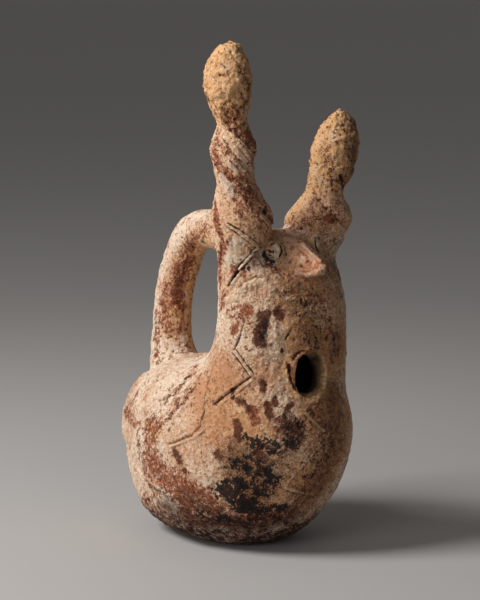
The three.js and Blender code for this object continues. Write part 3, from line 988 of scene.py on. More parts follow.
    def _press_lines(self) -> None:
        """Presses the lines and pits in, and raises the lips and fillets."""
        points = vertex_places(self.skin)
        cut = np.zeros(len(points))
        raised = np.zeros(len(points))
        for stroke, line in self.strokes:
            near, gaps = distance_to(line, points, stroke.half_width)
            profile = hollow(gaps, stroke.half_width)
            if stroke.depth > 0:
                cut[near] = np.maximum(cut[near], profile * stroke.depth)
            else:
                raised[near] = np.maximum(raised[near], -profile * stroke.depth)
        tree = nearest_of(points)
        for place, half_width in self.pits:
            for _, number, gap in tree.find_range(place, half_width):
                cut[number] = max(cut[number], hollow(gap, half_width) * half_width * self.pit_depth)
        for name, relief, sign in (("cut", cut, -1), ("raised", raised, 1)):
            deepest = float(relief.max())
            self._weigh(name, relief / deepest)
            self._displace(sign * deepest, 0.0, None, name)

    def _roughen(self) -> None:
        """Gives the clay its lumps, finger marks, crust and grit, and the horns their sandy tips."""
        points = vertex_places(self.skin)
        self._weigh("sandy", sandy_share(points))
        above_flat = smoothstep(*self.rough_heights, points[:, 2])
        on_handle = smoothstep(*self.handle_y, points[:, 1]) * smoothstep(*self.handle_z, points[:, 2])
        self._weigh("above_flat", above_flat)
        self._weigh("walls", above_flat * (1 - self.handle_evenness * on_handle))
        for grain in self.grains:
            texture = bpy.data.textures.new(grain.name, "CLOUDS")
            texture.noise_scale = grain.size * MM
            texture.noise_depth = grain.depth
            texture.noise_basis = "IMPROVED_PERLIN"
            if grain.crisp:
                texture.use_color_ramp = True
                for grey, position in enumerate(self.crisp_edge):
                    texture.color_ramp.elements[grey].position = position
                    texture.color_ramp.elements[grey].color = (grey, grey, grey, 1)
            self._displace(grain.height, 0.5, texture, grain.where or "above_flat")

    def _fit_box(self) -> None:
        """Stands the skin on z = 0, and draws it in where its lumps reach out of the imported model's box."""
        points = vertex_places(self.skin)
        low, high = (np.array(corner) / MM for corner in CAD_BOX)
        over = np.maximum((points.max(axis=0) - high).clip(0), (low - points.min(axis=0)).clip(0))
        surplus, hair = 1.01, 1e-5  # with these it ends up just inside the box
        shrink = 1 - 2 * surplus * over / (high - low)
        lift = -float(points[:, 2].min())
        shrink[2] = min(1.0, high[2] / (points[:, 2].max() + lift) - hair)
        middle = (low + high) / 2 * MM
        with editing(self.skin):
            bpy.ops.mesh.select_all(action="SELECT")
            bpy.ops.transform.translate(value=(0.0, 0.0, lift * MM))
            bpy.ops.transform.resize(value=shrink.tolist(), center_override=(middle[0], middle[1], 0.0))
        log.info("skin lifted by %.2f mm and drawn in by %s mm", lift, np.round(over, 2))

    def _weigh(self, name: str, weights: np.ndarray) -> None:
        """Writes a vertex group in 64 steps of weight.

        Args:
            name: the group's name.
            weights: the weight of each vertex, from 0 to 1.
        """
        levels = 64
        group = self.skin.vertex_groups.new(name=name)
        steps = np.rint(np.clip(weights, 0, 1) * levels).astype(int)
        for step in range(1, levels + 1):
            members = np.flatnonzero(steps == step)
            if members.size:
                group.add(members.tolist(), step / levels, "REPLACE")

    def _displace(self, height: float, middle: float, texture: bpy.types.Texture | None, group: str) -> None:
        """Moves the skin along its normals.

        Args:
            height: how far, in millimetres, from the texture's dark to its light.
            middle: the value of the texture that doesn't move.
            texture: the pattern, or none to move the whole group.
            group: the vertex group that it is kept to.
        """
        select_only(self.skin)
        modifier = self.skin.modifiers.new("relief", "DISPLACE")
        modifier.strength = height * MM
        modifier.mid_level = middle
        modifier.texture = texture
        modifier.texture_coords = "LOCAL"
        modifier.vertex_group = group
        bpy.ops.object.modifier_apply(modifier=modifier.name)


def sandy_share(points: np.ndarray) -> np.ndarray:
    """Says how far each place has lost its crust, as the horns' tips have.

    Args:
        points: places in millimetres, one row each.

    Returns:
        A share from 0 to 1 for each.
    """
    tall = smoothstep(*TALL_CRUST_LOST, points[:, 2]) * (points[:, 0] < 0)
    short = smoothstep(*SHORT_CRUST_LOST, points[:, 2]) * (points[:, 0] > 0)
    return tall + short


def cut_with(piece: bpy.types.Object, zone: bpy.types.Object, keep: Keep) -> None:
    """Cuts a piece with a zone and keeps one side of the cut.

    Args:
        piece: the piece to cut.
        zone: a closed object.
        keep: which side stays.
    """
    select_only(piece)
    cut = piece.modifiers.new("cut", "BOOLEAN")
    cut.operation = keep.value
    cut.solver = "MANIFOLD"
    cut.object = zone
    bpy.ops.object.modifier_apply(modifier=cut.name)


def prism(name: str, outline: tuple[Corner, ...], along: str, low: float, high: float) -> bpy.types.Object:
    """Makes a cutting zone by drawing an outline from corner to corner and extruding it.

    Args:
        name: the zone's name.
        outline: corners in millimetres, (y, z) for a zone along x and (x, z) for one along y.
        along: the axis that it is extruded along, x or y.
        low: where it starts on that axis.
        high: where it ends.

    Returns:
        The closed zone.
    """
    axis = "xy".index(along)
    corners = [Vector((low, u, v) if axis == 0 else (u, low, v)) * MM for u, v in outline]
    way = Vector((0.0, 0.0, 0.0))
    way[axis] = (high - low) * MM
    bpy.ops.object.select_all(action="DESELECT")
    bpy.ops.mesh.primitive_plane_add(size=MM, location=corners[0])
    zone = bpy.context.active_object
    zone.name = name
    with editing(zone):
        bpy.ops.mesh.select_mode(type="VERT")
        bpy.ops.mesh.select_all(action="SELECT")
        bpy.ops.mesh.merge(type="CENTER")
        for start, end in zip(corners, corners[1:]):
            bpy.ops.mesh.extrude_vertices_move(TRANSFORM_OT_translate={"value": tuple(end - start)})
        bpy.ops.mesh.select_all(action="SELECT")
        bpy.ops.mesh.edge_face_add()
        bpy.ops.mesh.extrude_region_move(TRANSFORM_OT_translate={"value": tuple(way)})
        bpy.ops.mesh.select_all(action="SELECT")
        bpy.ops.mesh.normals_make_consistent(inside=False)
    return zone


def plug(name: str, centre: Place, way: Place, across: float, upright: float, lean: float, depth: float,
         root: float = 1.0) -> bpy.types.Object:
    """Makes an oval cutting zone about a line.

    Args:
        name: the zone's name.
        centre: its middle in millimetres.
        way: the direction of its length.
        across: half its width.
        upright: half its height.
        lean: how far its height leans, in degrees.
        depth: its length.
        root: the width of its near end, as a share of that of its far end.

    Returns:
        The closed zone.
    """
    turn = Vector(way).to_track_quat("Z", "Y").to_matrix() @ Matrix.Rotation(math.radians(lean), 3, "Z")
    bpy.ops.object.select_all(action="DESELECT")
    bpy.ops.mesh.primitive_cone_add(vertices=PLUG_SIDES, radius1=root, radius2=1.0, depth=depth * MM,
                                    location=Vector(centre) * MM, rotation=turn.to_euler())
    zone = bpy.context.active_object
    zone.name = name
    zone.scale = (across * MM, upright * MM, 1.0)
    return zone


@dataclass(frozen=True)
class Seam:
    """A joint between two courses of the wall, by its (y, z) at the front and the back."""

    front: Corner
    back: Corner

    def height_at(self, y: float) -> float:
        """Gives the seam's height at a place along y, also beyond the wall."""
        (y0, z0), (y1, z1) = self.front, self.back
        return z0 + (z1 - z0) * (y - y0) / (y1 - y0)


@dataclass
class Joints:
    """Cuts the skin into the pieces that the pot was luted together from. Lengths are millimetres."""

    skin: bpy.types.Object
    bowl_rim: Seam = Seam((-46.5, 34.0), (60.2, 35.0))
    neck_root: Seam = Seam((-48.4, 61.0), (35.0, 70.0))
    head_seam: Seam = Seam((-43.6, 103.0), (-4.0, 106.0))
    front: float = -90.0
    rear: float = 120.0
    side: float = 70.0
    bottom: float = -20.0
    handle_zone: tuple[Corner, ...] = ((-3.0, 101.0), (22.0, 101.0), (31.0, 90.0), (33.0, 71.4),
                                       (80.0, 71.4), (80.0, 150.0), (-3.0, 150.0))
    tail_zone: tuple[Corner, ...] = ((61.6, 12.0), (61.5, 36.0), (61.0, 46.0), (57.9, 57.5), (50.5, 67.0),
                                     (90.0, 75.0), (90.0, 12.0))
    coil_span: Span = (-30.0, 30.0)  # the width of the handle's zone and the tail's
    horn_zone: tuple[Corner, ...] = ((6.0, 129.8), (45.0, 112.0), (45.0, 215.0), (6.0, 215.0))  # on the left
    horn_span: Span = (-60.0, 0.0)
    muzzle_zone: tuple[Corner, ...] = ((-45.2, 103.5), (-41.3, 111.0), (-37.0, 118.0), (-31.5, 126.5),
                                       (-80.0, 126.5), (-80.0, 103.5))
    muzzle_span: Span = (-7.2, 7.2)
    eye_rise: float = 1.5  # how far the middle of a pellet's zone lies before the face
    eye_radius: float = 3.9
    eye_depth: float = 5.2
    ring_at: Place = (-5.0, -44.0, 74.0)
    ring_size: Place = (8.7, 10.7, 24.0)  # half the ring's width, half its height and its depth
    pieces: dict[str, bpy.types.Object] = field(init=False, default_factory=dict)

    def cut_all(self) -> dict[str, bpy.types.Object]:
        """Cuts the long pieces off first, then the courses of the wall, then what stands on each.

        Returns:
            The pieces by the name of the node that each stands for.
        """
        self._part("handle", self.skin, prism("handle_zone", self.handle_zone, "x", *self.coil_span))
        self._part("tail", self.skin, prism("tail_zone", self.tail_zone, "x", *self.coil_span))
        for name, seam in (("belly_bowl", self.bowl_rim), ("back_shell", self.neck_root),
                           ("neck", self.head_seam)):
            self._part(name, self.skin, self._below(seam))
        head = self.skin
        head.name = "fired_head_cap"
        self.pieces["head_cap"] = head
        for side, name in ((-1, "right_horn"), (1, "left_horn")):
            outline = tuple((side * x, z) for x, z in self.horn_zone)
            self._part(name, head, prism(f"{name}_zone", outline, "y", *self.horn_span))
        self._part("muzzle", head, prism("muzzle_zone", self.muzzle_zone, "x", *self.muzzle_span))
        for side, name in ((-1, "right_eye"), (1, "left_eye")):
            facing = Vector((side * EYE_FACING[0], EYE_FACING[1], EYE_FACING[2])).normalized()
            centre = Vector((side * EYE_AT[0], EYE_AT[1], EYE_AT[2])) + facing * self.eye_rise
            radius = self.eye_radius
            pellet_zone = plug(f"{name}_zone", tuple(centre), tuple(facing), radius, radius, 0.0,
                               self.eye_depth)
            self._part(name, head, pellet_zone)
        across, upright, depth = self.ring_size
        ring_zone = plug("ring_zone", self.ring_at, HOLE_WAY, across, upright, HOLE_LEAN, depth)
        self._part("spout_root", self.pieces["neck"], ring_zone)
        return self.pieces

    def _below(self, seam: Seam) -> bpy.types.Object:
        """Makes the zone below a seam.

        Args:
            seam: the seam at its top.

        Returns:
            The closed zone.
        """
        outline = ((self.front, self.bottom), (self.rear, self.bottom),
                   (self.rear, seam.height_at(self.rear)), (self.front, seam.height_at(self.front)))
        return prism("course_zone", outline, "x", -self.side, self.side)

    def _part(self, name: str, rest: bpy.types.Object, zone: bpy.types.Object) -> None:
        """Takes what lies in a zone off the rest as a piece of its own.

        Args:
            name: the node that the piece stands for.
            rest: the object that it is cut from.
            zone: the zone, which is removed afterwards.
        """
        mesh = rest.data.copy()
        piece = bpy.data.objects.new(f"fired_{name}", mesh)
        bpy.context.scene.collection.objects.link(piece)
        cut_with(piece, zone, Keep.WITHIN)
        cut_with(rest, zone, Keep.BEYOND)
        bpy.data.objects.remove(zone)
        self.pieces[name] = piece
        log.info("%s: %d faces", name, len(piece.data.polygons))


@dataclass
class Weathering:
    """Lays the slip, soot, crust, dirt and wear of the pot on its skin, and the shade and highlights painted
    with them. Lengths are millimetres.
    """

    clay: ClaySkin
    slip_left: float = 0.13
    soot_left: float = 0.04
    earth_and_shade_left: float = 0.22
    foot_heights: Span = (4.0, 22.0)  # the lower belly is painted darker up to between these: slip and soot on it, and painted shade under the belly
    foot_slip: float = 0.5
    foot_soot: float = 0.42
    foot_shade: float = 0.85
    paste_and_highlight_lost: float = 0.4  # the pale paste and painted highlight are gone where the cut is painted darker than this
    walls: tuple[str, ...] = ("belly_bowl", "back_shell", "neck", "head_cap", "spout_root")
    pit_reach: float = 0.25  # how far round a pit its earth lies
    pit_grime: float = 0.75
    hollow_line: tuple[Place, ...] = ((0, 6, 22), (0, 4, 48), (0, -14, 66), (0, -23, 82), (0, -22, 120))
    hollow_facing: float = -0.25  # how far a normal of the hollow points back to that line
    hollow_top: float = 126.0
    hollow_reach: float = 58.0
    mark_length: float = 8.0  # how many times longer than wide the marks of the potter's hand are
    mark_fall: float = 38.0  # degrees that they fall towards the tail
    layers: dict[Layer, np.ndarray] = field(init=False)
    tree: KDTree = field(init=False)

    def lay(self) -> None:
        """Works out every layer on the smooth skin, before its lines are pressed in."""
        points = vertex_places(self.clay.skin)
        layers = {layer: np.zeros(len(points)) for layer in Layer}
        # Darker towards the bottom: slip and soot, and painted shade under the belly.
        foot = 1 - smoothstep(*self.foot_heights, points[:, 2])
        layers[Layer.SLIP] += self.slip_left + self.foot_slip * foot
        layers[Layer.SOOT] += self.soot_left + self.foot_soot * foot
        layers[Layer.SMOKE] += self.foot_shade * foot
        layers[Layer.EARTH_AND_SHADE] += self.earth_and_shade_left
        layers[Layer.CORE] += sandy_share(points)
        for stain, line in self.clay.stains:
            near, gaps = distance_to(line, points, stain.reach)
            amount = stain.strength * (1 - np.clip(gaps / stain.reach, 0, 1) ** 2)
            layer = layers[stain.layer]
            layer[near] = np.maximum(layer[near], amount)
        for stroke, line in self.clay.strokes:
            near, gaps = distance_to(line, points, stroke.half_width)
            profile = hollow(gaps, stroke.half_width)
            if stroke.depth > 0:
                layer, amount = layers[Layer.GRIME_AND_SHADE], stroke.grime * profile
            else:
                # Raised lines are painted pale on their crest: pale paste, and partly a painted highlight.
                layer, amount = layers[Layer.PASTE], np.sqrt(profile)
            layer[near] = np.maximum(layer[near], amount)
        grime = layers[Layer.GRIME_AND_SHADE]
        layers[Layer.PASTE][grime > self.paste_and_highlight_lost] = 0.0
        tree = nearest_of(points)
        for place, half_width in self.clay.pits:
            reach = half_width + self.pit_reach
            for _, number, gap in tree.find_range(place, reach):
                grime[number] = max(grime[number], self.pit_grime * half_width * (1 - gap / reach))
        layers[Layer.INSIDE] += self._inside(self.clay.skin, points)
        self.layers = layers

    def follow(self) -> None:
        """Notes where the skin's vertices lie once it is worked."""
        self.tree = nearest_of(vertex_places(self.clay.skin))

    def hand_on(self, node: str, piece: bpy.types.Object) -> None:
        """Writes every layer on a piece, as the worked skin has it there, as attributes of its vertices.

        Args:
            node: the node that the piece stands for.
            piece: the piece to write on.
        """
        points = vertex_places(piece)
        nearest = np.array([self.tree.find(point)[1] for point in points.tolist()])
        for layer, values in self.layers.items():
            amounts = values[nearest]
            if layer is Layer.INSIDE and node not in self.walls:
                amounts = np.zeros(len(points))
            attribute = piece.data.attributes.new(layer.value, "FLOAT", "POINT")
            attribute.data.foreach_set("value", amounts.astype(np.float32))
        drawn = piece.data.attributes.new(DRAWN, "FLOAT_VECTOR", "POINT")
        drawn.data.foreach_set("vector", self._along_marks(node, points).astype(np.float32).ravel())

    def _along_marks(self, node: str, points: np.ndarray) -> np.ndarray:
        """Gives places in metres in which the marks of the potter's hand are shrunk to round spots.

        Args:
            node: the node that the piece stands for.
            points: the vertices' places in millimetres, one row each.

        Returns:
            The new places, one row each.
        """
        if node in HORN_AXES:
            axis = np.array(HORN_AXES[node])
            x, y = (points[:, k] - np.interp(points[:, 2], axis[:, 2], axis[:, k]) for k in (0, 1))
            turn = points[:, 2] * math.pi / HORN_HALF_TURN
            across = (x * np.cos(turn) - y * np.sin(turn), x * np.sin(turn) + y * np.cos(turn))
            along = points[:, 2]
        else:
            fall = math.radians(90.0 if node == "handle" else self.mark_fall)
            across = (points[:, 0], points[:, 1] * math.sin(fall) + points[:, 2] * math.cos(fall))
            along = points[:, 1] * math.cos(fall) - points[:, 2] * math.sin(fall)
        return np.column_stack((*across, along / self.mark_length)) * MM

    def _inside(self, piece: bpy.types.Object, points: np.ndarray) -> np.ndarray:
        """Finds the vertices of the hollow, whose normals point towards the line up its middle.

        Args:
            piece: the object to look at.
            points: its vertices' places in millimetres, one row each.

        Returns:
            True for each that is one.
        """
        line = np.array(self.hollow_line, float)
        best = np.full(len(points), np.inf)
        outwards = np.zeros_like(points)
        for start, end in zip(line, line[1:]):
            along = end - start
            share = np.clip((points - start) @ along / (along @ along), 0, 1)
            gap = points - start - share[:, None] * along
            size = np.linalg.norm(gap, axis=1)
            closer = size < best
            best[closer] = size[closer]
            outwards[closer] = gap[closer]
        facing = np.einsum("ij,ij->i", outwards, vertex_normals(piece)) / np.maximum(best, 1e-6)
        return (facing < self.hollow_facing) & (points[:, 2] < self.hollow_top) & (best < self.hollow_reach)


def add_node(tree: bpy.types.NodeTree, kind: str, links: dict | None = None, values: dict | None = None,
             **settings: object) -> bpy.types.Node:
    """Adds a node with its settings, its values and its links.

    Args:
        tree: the tree that it goes into.
        kind: its type.
        links: the output that each input takes, by the input's name or number.
        values: the value of each unlinked input, by its name or number.
        settings: its properties.

    Returns:
        The new node.
    """
    node = tree.nodes.new(kind)
    for name, value in settings.items():
        setattr(node, name, value)
    for key, value in (values or {}).items():
        node.inputs[key].default_value = value
    for key, source in (links or {}).items():
        tree.links.new(source, node.inputs[key])
    return node


MIX_UNDER, MIX_OVER, MIX_RESULT = 6, 7, 2  # a colour mix's sockets, which share their names with others


@dataclass(frozen=True)
class ClayFinish:
    """Low-fired earthenware, hand-built and slipped, after long burial. Grain sizes are millimetres.

    Matt and dry to the eye: no shine, a sandy bloom, and broken patches of slip under a pale lime crust; some
    of its layers paint shade, and highlights on raised lines.
    """

    name: str
    slot: str
    cream: str = "fbe2c8"
    tan: str = "ca8f5d"
    ochre: str = "e6a96c"
    rosy: str = "dfa488"
    shadowed: str = "80502f"
    slip_red: str = "a4532f"
    slip_dark: str = "5a2815"
    wash: str = "d99c79"
    scorched: str = "38190f"
    soot: str = "17100e"
    soot_blue: str = "33353b"
    # Dark brown for burnt slip, and for painted shade away from the lamp.
    smoke: str = "482a1a"
    core_light: str = "f2bd87"
    core_dark: str = "b0682f"
    # Pale lime crust, and a painted highlight on the eye's disc.
    chalk: str = "efd9c1"
    blush: str = "c47853"
    blush_pale: str = "e9ba97"
    # Dark earth in cuts and pits, and painted shade in some cuts.
    grime: str = "351e11"
    # Pale on raised crests: pale paste, and partly a painted highlight.
    paste: str = "f2d2b0"
    raw: str = "7c6246"
    # Painted shade deep in the hole.
    hole_shade: str = "21150d"
    roughness: float = 0.92
    sheen: float = 0.25  # how much of a polished surface's reflection a dry one keeps
    bloom: float = 20.0
    blotch: float = 3.2
    mottle: float = 1.5
    grain: float = 0.65
    streak: float = 1.5
    specks: float = 0.42  # how strongly the brown specks show
    wash_cover: float = 0.62  # how far this coat and the next ones hide what they lie on
    slip_cover: float = 0.94
    smoke_and_shade_cover: float = 0.75
    soot_cover: float = 0.96
    chalk_and_highlight_cover: float = 0.62
    paste_and_highlight_cover: float = 0.4
    grime_and_shade_cover: float = 0.9
    relief: float = 0.9

    def build(self) -> bpy.types.Material:
        """Makes the material.

        Returns:
            A material that reads the layers from the mesh, and breaks their edges up.
        """
        material = bpy.data.materials.new(self.name)
        material.use_nodes = True
        tree = material.node_tree
        tree.nodes.clear()
        place = add_node(tree, "ShaderNodeTexCoord").outputs["Object"]
        drawn = add_node(tree, "ShaderNodeAttribute", attribute_name=DRAWN).outputs["Vector"]
        bloom, blotch, mottle, grain, streak = (
            self._noise(tree, where, size, detail, rough)
            for where, size, detail, rough in (
                (place, self.bloom, 3.0, 0.5), (place, self.blotch, 7.0, 0.66),
                (place, self.mottle, 6.0, 0.7), (place, self.grain, 4.0, 0.7),
                (drawn, self.streak, 5.0, 0.6))
        )
        broken = self._sum(tree, blotch, streak)
        fine = self._sum(tree, mottle, grain)

        slip = self._mask(tree, Layer.SLIP, (broken, 1.3), (fine, 2.3), edge=0.07)
        wash = self._mask(tree, Layer.SLIP, (bloom, 1.6), (broken, 2.0), edge=0.2, shift=-0.16)
        soot = self._mask(tree, Layer.SOOT, (blotch, 2.0), (mottle, 1.8), (grain, 1.0), edge=0.1)
        smoke = self._mask(tree, Layer.SMOKE, (blotch, 1.4), (grain, 1.4), edge=0.4, shift=0.06)
        earth = self._mask(tree, Layer.EARTH_AND_SHADE, (bloom, 1.3), (fine, 1.5), edge=0.45)
        core = self._mask(tree, Layer.CORE, (blotch, 0.8), (grain, 0.6), edge=0.16)
        chalk = self._mask(tree, Layer.CHALK_AND_HIGHLIGHT, (blotch, 1.4), (grain, 0.9), edge=0.12)
        blush = self._mask(tree, Layer.BLUSH, (mottle, 1.6), (grain, 0.9), edge=0.14)
        grime = self._mask(tree, Layer.GRIME_AND_SHADE, (mottle, 0.8), (grain, 0.7), edge=0.2)
        paste = self._mask(tree, Layer.PASTE, (mottle, 0.7), (grain, 0.6), edge=0.14)
        inside = add_node(tree, "ShaderNodeAttribute", attribute_name=Layer.INSIDE.value).outputs["Fac"]

        # Tan lies over the cream as far as the tan layer reaches: the clay's tone, and partly painted shade
        # on surfaces turned away from the lamp.
        pale = self._mottled(tree, self._over(tree, self.cream, self.tan, earth),
                             (self.rosy, blotch, 0.03, 0.16, 0.5), (self.ochre, streak, 0.02, 0.15, 0.5),
                             (self.shadowed, mottle, 0.03, 0.19, self.specks),
                             (self.shadowed, grain, 0.05, 0.13, self.specks))
        sand = self._mottled(tree, self.core_light, (self.core_dark, mottle, -0.02, 0.14, 0.8),
                             (self.cream, blotch, 0.0, 0.1, 0.6), (self.slip_dark, grain, 0.05, 0.16, 0.45))
        red = self._mottled(tree, self.slip_red, (self.slip_dark, mottle, -0.06, 0.1, 1.0),
                            (self.wash, grain, 0.03, 0.12, 0.7))
        black = self._mottled(tree, self.scorched, (self.soot, blotch, -0.04, 0.04, 1.0),
                              (self.soot_blue, fine, 0.02, 0.2, 0.85))
        pink = self._mottled(tree, self.blush, (self.blush_pale, blotch, -0.06, 0.08, 1.0))

        colour = pale
        for coat, mask, most in (
            (self.wash, wash, self.wash_cover), (sand, core, 1.0), (red, slip, self.slip_cover),
            (self.smoke, smoke, self.smoke_and_shade_cover), (pink, blush, 1.0), (black, soot, self.soot_cover),
            (self.chalk, chalk, self.chalk_and_highlight_cover), (self.paste, paste, self.paste_and_highlight_cover),
            (self.grime, grime, self.grime_and_shade_cover), (self.raw, inside, 1.0),
            (self.hole_shade, self._between(tree, inside, 1.0, 2.0), 1.0),
        ):
            colour = self._over(tree, colour, coat, mask, most)

        height = fine
        for worn, depth in ((slip, -0.3), (soot, -0.2), (grime, -0.3)):
            height = add_node(tree, "ShaderNodeMath", {0: worn, 2: height}, {1: depth},
                              operation="MULTIPLY_ADD").outputs[0]
        bump = add_node(tree, "ShaderNodeBump", {"Height": height},
                        {"Strength": 1.0, "Distance": self.relief * MM}).outputs["Normal"]
        shader = add_node(tree, "ShaderNodeBsdfPrincipled", {"Base Color": colour, "Normal": bump},
                          {"Roughness": self.roughness, "Specular IOR Level": self.sheen})
        add_node(tree, "ShaderNodeOutputMaterial", {"Surface": shader.outputs["BSDF"]})
        return material

    @staticmethod
    def _noise(tree: bpy.types.NodeTree, where: bpy.types.NodeSocket, size: float, detail: float,
               rough: float) -> bpy.types.NodeSocket:
        """Makes a noise of a grain size, as how far it is above or below its middle.

        Args:
            tree: the material's tree.
            where: the coordinates that it lies in.
            size: its grains' width in millimetres.
            detail: how many finer noises it holds.
            rough: how much the finer ones count.

        Returns:
            The noise.
        """
        noise = add_node(tree, "ShaderNodeTexNoise", {"Vector": where},
                         {"Scale": per_mm(size), "Detail": detail, "Roughness": rough}).outputs["Fac"]
        return add_node(tree, "ShaderNodeMath", {0: noise}, {1: 0.5}, operation="SUBTRACT").outputs[0]

    @staticmethod
    def _sum(tree: bpy.types.NodeTree, one: bpy.types.NodeSocket,
             other: bpy.types.NodeSocket) -> bpy.types.NodeSocket:
        """Adds two noises up."""
        return add_node(tree, "ShaderNodeMath", {0: one, 1: other}, operation="ADD").outputs[0]

    @staticmethod
    def _between(tree: bpy.types.NodeTree, noise: bpy.types.NodeSocket, low: float,
                 high: float) -> bpy.types.NodeSocket:
        """Turns a noise into a share that rises from 0 at low to 1 at high."""
        return add_node(tree, "ShaderNodeMapRange", {"Value": noise}, {"From Min": low, "From Max": high},
                        interpolation_type="SMOOTHSTEP").outputs[0]

    def _mask(self, tree: bpy.types.NodeTree, layer: Layer, *breaks: tuple[bpy.types.NodeSocket, float],
              edge: float = 0.05, shift: float = 0.0) -> bpy.types.NodeSocket:
        """Turns a layer's amount into a broken patch of it.

        Args:
            tree: the material's tree.
            layer: the layer to read.
            breaks: the noises that break it into islands and fray its edge, and how much each counts.
            edge: how soft its edge is.
            shift: how much less of it is needed, where this is negative.

        Returns:
            The patch, from 0 to 1.
        """
        amount = add_node(tree, "ShaderNodeAttribute", attribute_name=layer.value).outputs["Fac"]
        for noise, share in breaks:
            amount = add_node(tree, "ShaderNodeMath", {0: noise, 2: amount}, {1: share},
                              operation="MULTIPLY_ADD").outputs[0]
        half = 0.5 + shift
        return self._between(tree, amount, half - edge, half + edge)

    def _mottled(self, tree: bpy.types.NodeTree, colour: object,
                 *tints: tuple[str, bpy.types.NodeSocket, float, float, float]) -> bpy.types.NodeSocket:
        """Mottles a colour with others, each where a noise is high.

        Args:
            tree: the material's tree.
            colour: the colour, as hex digits or a socket.
            tints: each other colour, its noise, the two values of the noise between which it comes in, and
                how far it hides what lies under it.

        Returns:
            The mottled colour.
        """
        for tint, noise, low, high, most in tints:
            colour = self._over(tree, colour, tint, self._between(tree, noise, low, high), most)
        return colour

    @staticmethod
    def _over(tree: bpy.types.NodeTree, under: object, over: object, mask: bpy.types.NodeSocket,
              most: float = 1.0) -> bpy.types.NodeSocket:
        """Lays one colour over another where the mask is, and as far as the most that is given.

        Args:
            tree: the material's tree.
            under: the lower colour, as hex digits or a socket.
            over: the upper colour, in the same way.
            mask: where the upper one lies.
            most: how far it hides the lower one there.

        Returns:
            The mixed colour.
        """
        share = add_node(tree, "ShaderNodeMath", {0: mask}, {1: most}, operation="MULTIPLY",
                         use_clamp=True).outputs[0]
        links = {0: share}
        values = {}
        for key, colour in ((MIX_UNDER, under), (MIX_OVER, over)):
            if isinstance(colour, str):
                values[key] = linear(colour)
            else:
                links[key] = colour
        return add_node(tree, "ShaderNodeMix", links, values, data_type="RGBA").outputs[MIX_RESULT]


class Finish(Enum):
    """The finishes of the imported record's slots."""

    # Fired clay under a burial crust: pale, chalky and broken up.
    CRUST = ClayFinish("lime_crusted_earthenware", "cream_crust")
    # The body of the clay where the surface is lost: sandy, warm and drier still.
    CORE = ClayFinish("sandy_earthenware_core", "sandy_core", cream="f4cda9", roughness=0.96)
    # Brushed slip that hands have rubbed thin: streaks along the coil, and fewer specks.
    SLIP = ClayFinish("worn_red_slip_on_earthenware", "worn_slip", roughness=0.9, specks=0.25)
    # Slip that the fire turned pink: rosy under a pale bloom.
    PINK = ClayFinish("pink_fired_slip", "pink_slip", cream="e9bb9d", roughness=0.9)


FINISH_OF_NODE = {
    "belly_bowl": Finish.CRUST,
    "back_shell": Finish.CRUST,
    "neck": Finish.CRUST,
    "head_cap": Finish.CRUST,
    "spout_root": Finish.CORE,
    "right_horn": Finish.CORE,
    "left_horn": Finish.CORE,
    "handle": Finish.SLIP,
    "tail": Finish.CRUST,
    "muzzle": Finish.PINK,
    "right_eye": Finish.CRUST,
    "left_eye": Finish.CRUST,
}


@dataclass
class Askos:
    """The whole pot, from its skin of clay to its finished pieces."""

    clay: ClaySkin = field(default_factory=ClaySkin)
    crease_angle: float = 55.0

    def build(self) -> None:
        """Makes, cuts, weathers and dresses every piece."""
        self.clay.draw()
        weather = Weathering(self.clay)
        weather.lay()
        skin = self.clay.work()
        weather.follow()
        pieces = Joints(skin).cut_all()
        materials = {finish: finish.value.build() for finish in Finish}
        for node, piece in pieces.items():
            finish = FINISH_OF_NODE[node]
            weather.hand_on(node, piece)
            piece.vertex_groups.clear()
            piece.data.materials.clear()
            piece.data.materials.append(materials[finish])
            select_only(piece)
            bpy.ops.object.shade_smooth_by_angle(angle=math.radians(self.crease_angle))
            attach(piece, "root")
            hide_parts(node)
            triangles = sum(len(face.vertices) - 2 for face in piece.data.polygons)
            log.info("%s: %d triangles, finished as %s", piece.name, triangles, finish.value.name)


@dataclass(frozen=True)
class Lamp:
    """A round soft lamp. Lengths are metres."""

    name: str
    azimuth: float
    elevation: float
    distance: float
    size: float
    level: float  # how bright a white face turned to the lamp is

    def hang(self, target: Place) -> None:
        """Hangs the lamp so that it shines on a place.

        Args:
            target: the place, in metres.
        """
        azimuth, elevation = math.radians(self.azimuth), math.radians(self.elevation)
        level = Vector((math.sin(azimuth), -math.cos(azimuth), 0)) * math.cos(elevation)
        towards = level + Vector((0, 0, math.sin(elevation)))
        data = bpy.data.lights.new(self.name, "AREA")
        data.shape = "DISK"
        data.size = self.size
        data.energy = self.level * (math.pi * self.distance) ** 2
        lamp = bpy.data.objects.new(self.name, data)
        lamp.location = Vector(target) + towards * self.distance
        lamp.rotation_euler = towards.to_track_quat("Z", "Y").to_euler()
        bpy.context.scene.collection.objects.link(lamp)


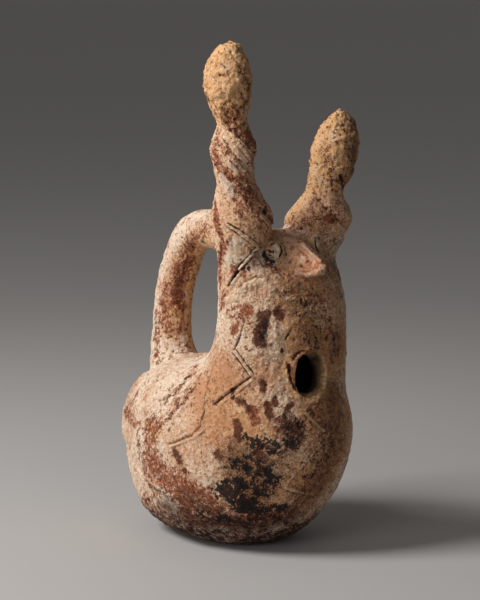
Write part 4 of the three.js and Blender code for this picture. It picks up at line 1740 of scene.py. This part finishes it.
@dataclass
class Studio:
    """A pale floor, painted darker away from the pot as shade where the light falls off, and soft light from
    the left of the view. Lengths are metres.
    """

    floor_size: float = 24.0
    floor_colour: str = "afaba8"
    falloff_shade_colour: str = "999693"
    falloff_span: tuple[float, float] = (0.2, 0.7)  # the floor is painted darker between these distances from the pot, as painted shade where the light falls off
    lamps: tuple[Lamp, ...] = (
        Lamp("key_softbox", -108.0, 42.0, 0.9, 0.4, 1.15),
        Lamp("side_fill", -72.0, 14.0, 1.1, 0.6, 0.21),
    )
    floor_roughness: float = 0.85
    floor_sheen: float = 0.2
    sky_level: float = 0.1
    sky_colour: str = "ffffff"
    backdrop_colour: str = "d8d4d0"
    pot_middle: Place = (0.0, 0.0, 0.1)

    def build(self) -> None:
        """Makes the floor, the lamps and the world."""
        self._floor()
        for lamp in self.lamps:
            lamp.hang(self.pot_middle)
        self._world()
        bpy.context.scene.view_settings.view_transform = "Standard"

    def _floor(self) -> None:
        """Lays the floor under the pot: matt painted board without a highlight, pale grey near the pot and
        painted darker further out as shade where the light falls off.
        """
        bpy.ops.object.select_all(action="DESELECT")
        bpy.ops.mesh.primitive_plane_add(size=self.floor_size)
        floor = bpy.context.active_object
        floor.name = "floor"
        material = bpy.data.materials.new("matt_board_with_painted_falloff")
        material.use_nodes = True
        tree = material.node_tree
        place = add_node(tree, "ShaderNodeTexCoord").outputs["Object"]
        reach = add_node(tree, "ShaderNodeVectorMath", {0: place}, operation="LENGTH").outputs["Value"]
        far = add_node(tree, "ShaderNodeMapRange", {"Value": reach},
                       {"From Min": self.falloff_span[0], "From Max": self.falloff_span[1]},
                       interpolation_type="SMOOTHSTEP").outputs[0]
        paint = add_node(tree, "ShaderNodeMix", {0: far}, {MIX_UNDER: linear(self.floor_colour),
                                                           MIX_OVER: linear(self.falloff_shade_colour)},
                         data_type="RGBA").outputs[MIX_RESULT]
        shader = tree.nodes["Principled BSDF"]
        tree.links.new(paint, shader.inputs["Base Color"])
        shader.inputs["Roughness"].default_value = self.floor_roughness
        shader.inputs["Specular IOR Level"].default_value = self.floor_sheen
        floor.data.materials.append(material)

    def _world(self) -> None:
        """Fills the shadows from all sides, and shows a pale background behind the floor's edge."""
        world = bpy.data.worlds.new("studio")
        bpy.context.scene.world = world
        world.use_nodes = True
        tree = world.node_tree
        tree.nodes.clear()
        rays = add_node(tree, "ShaderNodeLightPath")
        looked_at = add_node(tree, "ShaderNodeMath", {0: rays.outputs["Is Camera Ray"],
                                                      1: rays.outputs["Is Glossy Ray"]}, operation="ADD")
        looked_at = add_node(tree, "ShaderNodeMath", {0: looked_at.outputs[0],
                                                      1: rays.outputs["Is Transmission Ray"]},
                             operation="ADD", use_clamp=True)
        fill = add_node(tree, "ShaderNodeBackground", values={"Color": linear(self.sky_colour),
                                                              "Strength": self.sky_level})
        shown = add_node(tree, "ShaderNodeBackground", values={"Color": linear(self.backdrop_colour),
                                                               "Strength": 1.0})
        mix = add_node(tree, "ShaderNodeMixShader", {0: looked_at.outputs[0], 1: fill.outputs[0],
                                                     2: shown.outputs[0]})
        add_node(tree, "ShaderNodeOutputWorld", {"Surface": mix.outputs[0]})


def main() -> None:
    """Builds the camera, the pot and the studio in order."""
    logging.basicConfig(level=logging.INFO, format="%(name)s %(relativeCreated)6d ms: %(message)s")
    VIEW.make_camera()
    Askos().build()
    Studio().build()


if __name__ == "__main__":
    main()
